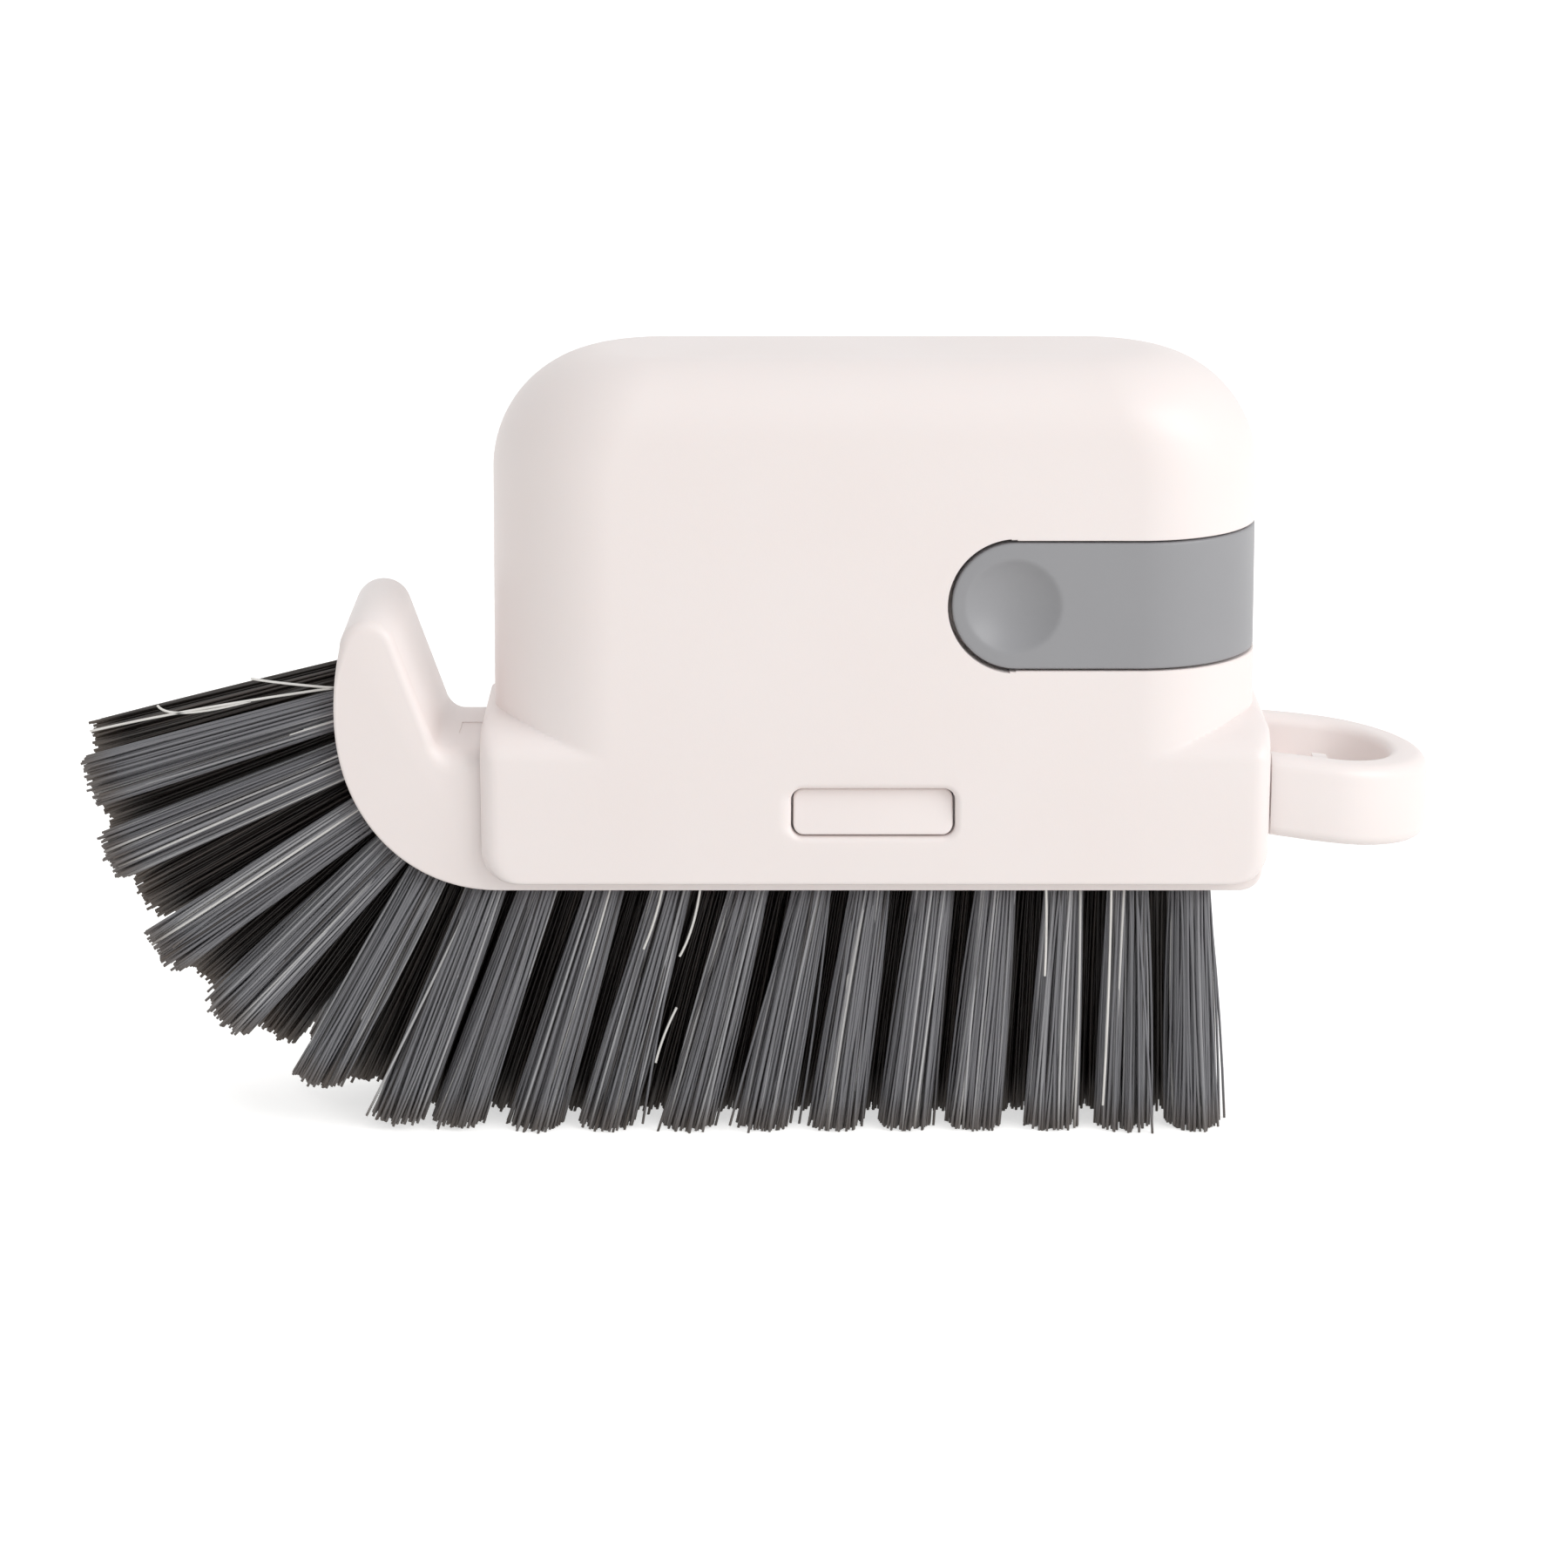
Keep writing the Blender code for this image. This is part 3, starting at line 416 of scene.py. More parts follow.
def windowCutter(side):  # rounded lip that opens on to the outer face
    w = window
    face = housing["depth"] / 2
    rings = []
    depths = [(-w["outside"], w["flare"])] + quarterRound(w["flare"], w["flareSteps"])
    for depth, grow in depths + [(housing["skirtWall"] + w["inside"], 0.0)]:
        outline = roundBox(w["width"] / 2 + grow, w["height"] / 2 + grow, w["cornerRadius"] + grow,
                           w["cornerSteps"])
        ring = []
        for x, z in outline:
            if x < -w["width"] / 2 and depth < w["flare"]:
                x -= (-w["width"] / 2 - x) * (w["leftFlare"] - 1)
            ring.append((w["centreX"] + x, side * (face - depth), w["centreZ"] + z))
        rings.append(ring)
    return loft("windowCutter", rings)


def makeHousing():
    h, c = housing, clip
    rings = [housingRing(z, atZ=z - h["footDrop"] * max(1 - z / h["footFade"], 0)) for z in shellHeights()]
    shell = loft("housingShell", rings)
    farX, farY = h["skirtLength"] / 2 + overrun, h["depth"] / 2 + overrun

    crown = h["height"] - h["cornerRadius"]
    heights = [-overrun, *h["hollowSections"]]
    heights += quarterHeights(crown, h["cornerRadius"] - h["wall"], h["hollowCrownSteps"])
    hollow = loft("hollow", [housingRing(max(z, 0), h["wall"], skirt=False, atZ=z) for z in heights])
    wall = c["thickness"] + c["edgeGap"] + c["backingWall"]     # the hollow stands back behind the clip
    half = c["height"] / 2 + c["backingMargin"]
    backing = block("backing", (c["tipX"] - c["backingMargin"], -farY, c["centreZ"] - half),
                    (farX, farY, c["centreZ"] + half))
    carve(backing, gripCore("backingCore", wall))
    carve(hollow, backing)
    carve(shell, hollow)

    start = h["skirtHeight"] - h["shoulderRise"]
    heights = [-overrun] + quarterHeights(start, h["shoulderRise"] - h["skirtWall"], h["hollowShoulderSteps"])
    rings = [housingRing(max(z, 0), h["skirtWall"], grip=False, atZ=z) for z in heights]
    carve(shell, loft("skirtHollow", rings))
    carve(shell, block("passage", (-farX, -h["passageHalf"], -overrun),
                       (farX, h["passageHalf"], h["passageTop"])))
    for side in (-1, 1):
        carve(shell, windowCutter(side))

    for grow, sunk in ((0.0, c["thickness"] + c["edgeGap"]), *c["lipSteps"]):
        outline = recessOutline(c["edgeGap"] + grow, c["tipGap"] + grow, farX)
        recess = slab("recess", outline, -farY, farY)
        carve(recess, gripCore("recessCore", sunk))
        carve(shell, recess)
    half = c["height"] / 2
    centreX, ends, steps = c["tipX"] + half, c["grooveEnds"], c["grooveSteps"]
    outer = arc(centreX, c["centreZ"], half + c["tipGap"] + c["grooveOut"], 90 + ends, 270 - ends, steps)
    inner = arc(centreX, c["centreZ"], half - c["grooveIn"], 90 + ends, 270 - ends, steps)
    for side in (-1, 1):      # the gap round each tip is a deep groove, so it looks dark
        near, deep = side * farY, side * (h["depth"] / 2 - wall + c["grooveFloor"])
        rings = [[(a[0], near, a[1]), (b[0], near, b[1]), (b[0], deep, b[1]), (a[0], deep, a[1])]
                 for a, b in zip(outer, inner)]
        carve(shell, loft("groove", rings))
    softShade(shell)
    return shell


housingShell = makeHousing()
finishPiece(housingShell, whitePlastic, "housing", "white_plastic", "housing_shell")


# side clip: one grey strip round the right end, with a thumb dimple at each tip
def clipPoint(along, z, depth):  # along runs round the plan from the middle of the right end, front negative
    flat = housing["depth"] / 2 - housing["endRadius"]
    radius = housing["endRadius"]
    bend = radius * math.pi / 2
    halfX = gripSection(z)[0]
    run = abs(along)
    sign = 1 if along > 0 else -1
    if run <= flat:
        return (halfX - depth, along, z)
    if run <= flat + bend:
        angle = (run - flat) / radius
        reach = radius - depth
        return (halfX - radius + reach * math.cos(angle), sign * (flat + reach * math.sin(angle)), z)
    return (halfX - radius - (run - flat - bend), sign * (flat + radius - depth), z)


def clipDepth(along, z, tipAlong):  # how deep the outer face lies under the housing's face
    c = clip
    depth = c["setIn"]
    beyond = max(abs(along) - tipAlong, 0)
    fromEdge = c["height"] / 2 - math.hypot(beyond, z - c["centreZ"])
    edge = c["edgeRound"]
    if fromEdge < edge:
        depth += edge - math.sqrt(max(edge * edge - (edge - fromEdge) ** 2, 0))
    reach = math.hypot(abs(along) - tipAlong - c["dimpleShift"], z - c["centreZ"])
    ball = (c["dimpleDepth"] ** 2 + c["dimpleRadius"] ** 2) / (2 * c["dimpleDepth"])
    if reach < ball:      # a ball presses the dimple, and its rim is blended in
        bowl = math.sqrt(ball * ball - reach * reach) - (ball - c["dimpleDepth"])
        soft = c["dimpleRim"]
        overlap = max(soft - abs(bowl), 0) / soft
        depth += max(bowl, 0) + overlap * overlap * soft / 4
    return depth


def makeClip():
    c = clip
    half = c["height"] / 2
    flat = housing["depth"] / 2 - housing["endRadius"]
    bendEnd = flat + housing["endRadius"] * math.pi / 2
    tipAlong = bendEnd + gripSection(c["centreZ"])[0] - housing["endRadius"] - c["tipX"] - half
    steps = c["straightSteps"]
    straight = [bendEnd + (tipAlong - bendEnd) * step / steps for step in range(1, steps + 1)]
    bend = [bendEnd * step / c["bendSteps"] for step in range(-c["bendSteps"], c["bendSteps"] + 1)]
    columns = [-a for a in reversed(straight)] + bend + straight
    insets = [rise for rise, drawn in quarterRound(c["edgeRound"], c["edgeSteps"])] + [c["rimRing"]]
    points, edges = [], []
    for inset in insets:      # rings that follow the outline, from the edge inwards
        ring = [(a, half - inset) for a in reversed(columns)]
        ring += arc(-tipAlong, 0, half - inset, 90, 270, c["tipSteps"])[1:-1]
        ring += [(a, inset - half) for a in columns]
        ring += arc(tipAlong, 0, half - inset, -90, 90, c["tipSteps"])[1:-1]
        count = len(ring)
        base = len(points)
        points += ring
        edges += [(base + i, base + (i + 1) % count) for i in range(count)]
        if base:
            edges += [(base + i, base - count + i) for i in range(count)]
    upperEnd = len(points) - count + len(columns) - 1
    lowerStart = upperEnd + c["tipSteps"]
    for index, along in enumerate(columns):   # across the band, clear of the dimples
        if abs(along) < tipAlong - half:
            edges.append((upperEnd - index, lowerStart + index))
    steps = c["dimpleSteps"]
    for side in (-1, 1):
        centre = len(points)
        middle = side * (tipAlong + c["dimpleShift"])
        points.append((middle, 0))
        last = None
        for radius in c["dimpleRings"]:
            base = len(points)
            points += arc(middle, 0, radius, 0, 360, steps)[:-1]
            edges += [(base + i, base + (i + 1) % steps) for i in range(steps)]
            edges += [(base + i, centre if last is None else last + i) for i in range(steps)]
            last = base
    flatMesh = delaunay_2d_cdt([Vector(p) for p in points], edges, [], 0, c["weld"])
    meshData = bmesh.new()
    for thickness in (None, c["thickness"]):      # the outer face with its dimples, then the plain inner one
        made = []
        for along, up in flatMesh[0]:
            z = c["centreZ"] + up
            depth = clipDepth(along, z, tipAlong) if thickness is None else c["setIn"] + thickness
            made.append(meshData.verts.new(place(clipPoint(along, z, depth))))
        for corners in flatMesh[2]:
            meshData.faces.new([made[i] for i in corners])
    rim = [edge for edge in meshData.edges if len(edge.link_faces) == 1]
    bmesh.ops.bridge_loops(meshData, edges=rim)
    bmesh.ops.recalc_face_normals(meshData, faces=meshData.faces)
    piece = objectFromMesh("sideClip", meshData)
    softShade(piece, 40)
    return piece


sideClip = makeClip()
finishPiece(sideClip, greyPlastic, "clip", "grey_plastic", "side_clip")


# brush head: ribbed block inside the skirt, whose left end rises as a hooked nose
head = {
    "half": 12.0, "heelX": 45.0, "heelRadius": 2.5, "heelSteps": 10,
    "soleZ": -1.8, "soleStep": 2.0, "soleEndGap": 0.5,
    "noseStartX": -43.5, "noseReach": 18.8, "noseRise": 20.9, "nosePower": 2.1, "noseSteps": 60,
    "hookX": -58.16, "hookZ": 26.95, "hookRadius": 3.34, "hookLean": 0.8, "hookSteps": 20, "innerTilt": 18.0,
    "rootX": -48.75, "rootZ": 16.9, "rootRadius": 2.2, "rootSteps": 14, "straightSteps": 9,
    "ledgeZ": 14.7, "channelStart": 0.2, "channelHalf": 2.6, "channelDepth": 0.12, "channelTop": 1.0,
    "crown": 0.1,          # the face towards the housing bulges this much from its edges to its middle
    "soleEdge": 0.35, "hookEdge": 1.2, "edgeFrom": 23.0, "edgeRise": 5.0,      # how round the edges are
    "ledgeEdge": 2.7, "ledgeEndX": -41, "topEdge": 0.9,
    "heelTopEdge": 0.6, "heelEdge": 0.5, "heelFootEdge": 0.45,
    "topPoints": (-47, -44, -40, -30, -20, -10, 0, 10, 20, 30, 40), "heelPoints": (12, 9, 6, 3),
    "edgeSteps": 7, "sideSteps": 6, "leastMiter": 0.4,
    "pocketCount": 6, "pocketReach": 40.5, "pocketRib": 2.2, "pocketHalf": 6.5, "pocketFloor": 7.0,
    "cutTop": 20.0,
    "catchX": -0.25, "catchHalf": 9.25, "catchInner": 7.5, "catchFloor": 3.7,
    "tongueX": 38.0, "tongueHalf": 7.26, "tongueLow": 5.6, "tongueHigh": 8.8,
}


def tuftedOutline():  # heel end of the sole, along it, and up the nose to the hook
    h = head
    soleEnd = h["heelX"] - h["heelRadius"]
    count = math.ceil((soleEnd - h["noseStartX"] - h["soleEndGap"]) / h["soleStep"])
    points = [(soleEnd - step * h["soleStep"], h["soleZ"]) for step in range(count)]
    power = 2 / h["nosePower"]
    for step in range(h["noseSteps"] + 1):
        angle = math.radians(90 * step / h["noseSteps"])
        points.append((h["noseStartX"] - h["noseReach"] * math.sin(angle) ** power,
                       h["soleZ"] + h["noseRise"] * (1 - math.cos(angle) ** power)))
    start = points[-1]
    for step in range(1, h["straightSteps"] + 1):
        share = step / h["straightSteps"]
        points.append((start[0] + h["hookLean"] * share * share, start[1] + (h["hookZ"] - start[1]) * share))
    return points


def headOutline():  # each point as x, z, how round the edge is there, and how much the side bulges
    h = head
    soleEdge, hookEdge, crown = h["soleEdge"], h["hookEdge"], h["crown"]
    outline = []
    for x, z in tuftedOutline():
        share = min(max((z - h["edgeFrom"]) / h["edgeRise"], 0), 1)
        outline.append((x, z, soleEdge + (hookEdge - soleEdge) * share, 0.0))
    hookArc = arc(h["hookX"], h["hookZ"], h["hookRadius"], 180, h["innerTilt"], h["hookSteps"])[1:]
    outline += [(x, z, hookEdge, crown * index / h["hookSteps"]) for index, (x, z) in enumerate(hookArc, 1)]
    rootArc = arc(h["rootX"], h["rootZ"], h["rootRadius"], 180 + h["innerTilt"], 270, h["rootSteps"])
    (fromX, fromZ), (toX, toZ) = hookArc[-1], rootArc[0]
    for step in range(1, h["straightSteps"]):
        share = step / h["straightSteps"]
        outline.append((fromX + (toX - fromX) * share, fromZ + (toZ - fromZ) * share, hookEdge, crown))
    steps = h["rootSteps"]
    outline += [(x, z, hookEdge + (h["ledgeEdge"] - hookEdge) * index / steps, crown * (1 - index / steps))
                for index, (x, z) in enumerate(rootArc)]
    outline += [(x, h["ledgeZ"], h["ledgeEdge"] if x < h["ledgeEndX"] else h["topEdge"], 0.0)
                for x in h["topPoints"]]
    outline.append((h["heelX"], h["ledgeZ"], h["heelTopEdge"], 0.0))
    outline += [(h["heelX"], z, h["heelEdge"], 0.0) for z in h["heelPoints"]]
    heelArc = arc(h["heelX"] - h["heelRadius"], h["soleZ"] + h["heelRadius"], h["heelRadius"], 0, -90,
                  h["heelSteps"])
    return outline + [(x, z, h["heelFootEdge"], 0.0) for x, z in heelArc[:-1]]


def makeHead():
    h = head
    outline = headOutline()
    count = len(outline)
    inward = []
    for index, (x, z, edge, bulge) in enumerate(outline):
        before, after = outline[index - 1], outline[(index + 1) % count]
        first = Vector((x - before[0], z - before[1])).normalized()
        second = Vector((after[0] - x, after[1] - z)).normalized()
        normal = Vector((first.y + second.y, -first.x - second.x))
        normal.normalize()
        inward.append(normal / max(normal.dot(Vector((first.y, -first.x))), h["leastMiter"]))
    turns = [math.radians(90 * step / h["edgeSteps"]) for step in range(h["edgeSteps"] + 1)]
    levels = [(-1, turn, None) for turn in turns]      # front edge, the side's width, back edge
    levels += [(1, turns[-1], step / h["sideSteps"]) for step in range(1, h["sideSteps"])]
    levels += [(1, turn, None) for turn in reversed(turns)]
    rings = []
    for side, turn, share in levels:
        ring = []
        for (x, z, edge, bulge), normal in zip(outline, inward):
            y = side * (h["half"] - edge * (1 - math.cos(turn)))
            if share is not None:
                y = (h["half"] - edge) * (2 * share - 1)
            drop = edge * (1 - math.sin(turn)) + bulge * (y / h["half"]) ** 2
            ring.append((x + normal.x * drop, y, z + normal.y * drop))
        rings.append(ring)
    base = loft("brushBase", rings)
    step = (2 * h["pocketReach"] + h["pocketRib"]) / h["pocketCount"]
    for index in range(h["pocketCount"]):
        low = -h["pocketReach"] + index * step
        carve(base, block("pocket", (low, -h["pocketHalf"], h["pocketFloor"]),
                          (low + step - h["pocketRib"], h["pocketHalf"], h["cutTop"])))
    for side in (-1, 1):
        near, far = sorted((side * h["catchInner"], side * (h["half"] + overrun)))
        carve(base, block("catchPocket", (h["catchX"] - h["catchHalf"], near, h["catchFloor"]),
                          (h["catchX"] + h["catchHalf"], far, h["cutTop"])))
    carve(base, block("ledgeChannel",
                      (h["rootX"] + h["channelStart"], -h["channelHalf"], h["ledgeZ"] - h["channelDepth"]),
                      (h["heelX"] + overrun, h["channelHalf"], h["ledgeZ"] + h["channelTop"])))
    carve(base, block("tongueSlot", (h["tongueX"], -h["tongueHalf"], h["tongueLow"]),
                      (h["heelX"] + overrun, h["tongueHalf"], h["tongueHigh"])))
    softShade(base)
    return base


brushBase = makeHead()
finishPiece(brushBase, whitePlastic, "brush_head", "white_plastic", "brush_base")


# hanging loop: a flat ring clipped into the heel, with a web and a nib inside its neck
loop = {
    "startX": 45.8, "neckHalf": 11.7, "half": 12.2, "webX": 50.4, "centreX": 53.0, "lowZ": 4.6, "topZ": 14.3,
    "wall": 3.9, "holeReach": 7.6, "edge": 1.5, "edgeSteps": 6, "holeEdge": 1.3, "holeEdgeSteps": 5,
    "ringSteps": 60, "holeSteps": 48, "holeMargin": 1.0,
    "webStart": 48.0, "webEnd": 50.9, "webLow": 5.6, "webTop": 9.8, "webHalf": 10.25,
    "webSetIn": 0.3, "stepTop": 8.6,
    "nib": 1.6, "nibHalf": 7.0, "nibSink": 0.1, "nibDrop": 0.15, "droop": 7.0,
    "tongueX": 38.3, "tongueHalf": 6.96, "tongueLow": 5.9, "tongueTop": 8.5, "tongueSink": 2.3,
}


def shiftedRings(outline, ways, levels):  # the outline at each height, moved along its ways
    return [[(x + a * by, y + b * by, z) for (x, y), (a, b) in zip(outline, ways)] for z, by in levels]


def makeLoop():
    k = loop
    outline = [(k["startX"], -k["neckHalf"]), (k["webX"], -k["half"])]
    outline += arc(k["centreX"], 0, k["half"], -90, 90, k["ringSteps"])
    outline += [(k["webX"], k["half"]), (k["startX"], k["neckHalf"])]
    inward = [(0, 1)] * 2 + [(-a, -b) for a, b in arc(0, 0, 1, -90, 90, k["ringSteps"])] + [(0, -1)] * 2
    rounded = quarterRound(k["edge"], k["edgeSteps"])
    levels = [(k["lowZ"] + rise, drawn) for rise, drawn in rounded]
    levels += [(k["topZ"] - rise, drawn) for rise, drawn in reversed(rounded)]
    ring = loft("hangingLoop", shiftedRings(outline, inward, levels))
    holeHalf = k["half"] - k["wall"]
    hole = [(k["startX"] - overrun, -holeHalf), (k["webX"], -holeHalf)]
    hole += [(x * k["holeReach"] / holeHalf + k["centreX"], y)
             for x, y in arc(0, 0, holeHalf, -90, 90, k["holeSteps"])]
    hole += [(k["webX"], holeHalf), (k["startX"] - overrun, holeHalf)]
    outward = [(0, -1)] * 2 + arc(0, 0, 1, -90, 90, k["holeSteps"]) + [(0, 1)] * 2
    levels = [(k["lowZ"] - k["holeMargin"], k["holeEdge"])]
    levels += [(k["lowZ"] + rise, drawn) for rise, drawn in quarterRound(k["holeEdge"], k["holeEdgeSteps"])]
    levels += [(k["lowZ"] + k["topZ"] - z, grow) for z, grow in reversed(levels)]
    carve(ring, loft("hole", shiftedRings(hole, outward, levels)))
    near = k["startX"] + k["webSetIn"]
    web = [(near, k["webLow"]), (k["webEnd"], k["webLow"]), (k["webEnd"], k["webTop"]),
           (k["webStart"], k["webTop"]), (k["webStart"], k["stepTop"]), (near, k["stepTop"])]
    carve(ring, slab("web", web, -k["webHalf"], k["webHalf"]), "UNION")
    carve(ring, block("nib", (k["webEnd"] - k["nibSink"], -k["webHalf"], k["webTop"] - k["nib"]),
                      (k["webEnd"] + k["nib"], -k["nibHalf"], k["topZ"] - k["nibDrop"])), "UNION")
    slope = math.tan(math.radians(k["droop"]))
    for vert in ring.data.vertices:
        vert.co.z -= (vert.co.x - middleX - k["startX"] * mm) * slope
    carve(ring, block("tongue", (k["tongueX"], -k["tongueHalf"], k["tongueLow"]),
                      (k["startX"] + k["tongueSink"], k["tongueHalf"], k["tongueTop"])), "UNION")
    softShade(ring)
    return ring


hangingLoop = makeLoop()
finishPiece(hangingLoop, whitePlastic, "brush_head", "white_plastic", "hanging_loop")


# catches: a plate in the head's pocket with a tab that fills the skirt's window
catch = {
    "plateHalf": 8.95, "plateInner": 10.6, "plateOuter": 12.0, "plateLow": 4.0, "plateTop": 13.6,
    "soft": 0.25, "softSteps": 3, "tabGap": 0.26, "tabCorner": 1.2, "cornerSteps": 8,
    "tabFoot": 14.35, "tabFace": 12.9, "tabEdge": 0.3, "edgeSteps": 5, "tabSink": 0.4,
}


def plateTab(side):  # fills the window, its face leaning back towards the top
    c = catch
    halfX = window["width"] / 2 - c["tabGap"]
    halfZ = window["height"] / 2 - c["tabGap"]
    rings = []
    levels = [(None, 0.0)] + [(drawn, rise) for rise, drawn in quarterRound(c["tabEdge"], c["edgeSteps"])]
    for back, shrink in levels:
        ring = []
        for x, z in roundBox(halfX - shrink, halfZ - shrink, c["tabCorner"] - shrink, c["cornerSteps"]):
            share = (z + halfZ) / (2 * halfZ)
            face = c["tabFoot"] + (c["tabFace"] - c["tabFoot"]) * share
            y = c["plateOuter"] - c["tabSink"] if back is None else face - back
            ring.append((window["centreX"] + x, side * y, window["centreZ"] + z))
        rings.append(ring)
    return loft("tab", rings)


def makeCatch(name, side):
    c = catch
    x = window["centreX"]
    near, far = sorted((side * c["plateInner"], side * c["plateOuter"]))
    plate = block(name, (x - c["plateHalf"], near, c["plateLow"]), (x + c["plateHalf"], far, c["plateTop"]))
    modifier = plate.modifiers.new("soft", "BEVEL")
    modifier.width = c["soft"] * mm
    modifier.segments = c["softSteps"]
    carve(plate, plateTab(side), "UNION")
    softShade(plate, 40)
    return plate


for name, side, body, node in (("frontCatch", -1, "front_catch", "catch_front"),
                               ("backCatch", 1, "back_catch", "catch_back")):
    finishPiece(makeCatch(name, side), whitePlastic, body, "white_plastic", node)
print("rigid pieces ready")


# bristles: round tufts of nylon filament in three rows along the sole and up the nose
tuft = {
    "rowOffset": 7.6, "rowSpread": 1.04, "rootSink": 1.2, "floorZ": -31.9, "leastFall": 0.2,
    "length": 31.4, "noseLength": 29.7, "noseFrom": 90.0,
    "outer": (5.45, 12.75, 20.2, 28.0, 35.3, 42.7, 49.5, 56.8, 65.9, 73.6, 81.4, 87.5, 94.4),  # mm from heel
    "outerNose": (99.3, 104.4, 111.2, 117.2), "backNose": (98.8, 103.7, 110.2, 115.9),
    "innerStart": 9.2, "innerPitch": 7.45, "innerCount": 12, "innerNose": (97.2, 101.3, 107.4, 112.9, 118.6),
    "outerTuft": {"Filaments": 200, "Root Radius": 2.2, "Tip Radius": 3.0, "Width": 0.33},
    "innerTuft": {"Filaments": 170, "Root Radius": 2.6, "Tip Radius": 3.5, "Width": 0.36},
    "Scatter": 0.6, "Bend": 0.35, "Uneven": 0.35,
    "sides": 5, "segments": 5, "spiralTurn": 2.39996, "looseFrom": 0.985, "looseReach": 3.0,
    "levelFrom": 18, "levelOver": 20,     # degrees of lean over which a tuft's end turns from flat to square
    # degrees forward by share of the line
    "leans": ((0, -4), (0.10, 0), (0.22, 4.5), (0.34, 8), (0.46, 14.5), (0.58, 16), (0.70, 21.5),
              (0.755, 28.5), (0.792, 44), (0.833, 55.5), (0.887, 67), (0.935, 73.5), (1, 78)),
}


def tuftRoot(distance):  # place and direction on the tufted line, measured from the heel
    line = tuftedOutline()
    for first, second in zip(line, line[1:]):
        runX, runZ = second[0] - first[0], second[1] - first[1]
        span = math.hypot(runX, runZ)
        if distance <= span:
            share = distance / span
            return (Vector((first[0] + runX * share, 0, first[1] + runZ * share)),
                    Vector((runX, 0, runZ)).normalized())
        distance -= span
    raise ValueError("tuft lies past the hook")


def leanAt(share):
    for (lowShare, low), (highShare, high) in zip(tuft["leans"], tuft["leans"][1:]):
        if share <= highShare:
            return math.radians(low + (high - low) * (share - lowShare) / (highShare - lowShare))
    return math.radians(tuft["leans"][-1][1])


lineLength = sum(math.dist(a, b) for a, b in zip(tuftedOutline(), tuftedOutline()[1:]))


def tuftPoints(distances, rows, inner):  # each tuft's root, tip, both ends' axes, and its row's colour
    made = []
    for distance in distances:
        root, tangent = tuftRoot(distance)
        lean = leanAt(distance / lineLength)
        way = Vector((-math.sin(lean), 0, -math.cos(lean)))
        length = tuft["length"] if distance < tuft["noseFrom"] else tuft["noseLength"]
        toFloor = (root.z - tuft["floorZ"]) / max(math.cos(lean), tuft["leastFall"])
        tip = root + way * min(length, toFloor)
        level = min(max((math.degrees(lean) - tuft["levelFrom"]) / tuft["levelOver"], 0), 1)
        across = Vector((way.z, 0, -way.x)) * level + Vector((-1, 0, 0)) * (1 - level)
        for row in rows:
            made.append((root + Vector((0, row, 0)) + way * -tuft["rootSink"],
                         tip + Vector((0, row * tuft["rowSpread"], 0)), tangent, across.normalized(), inner))
    return made


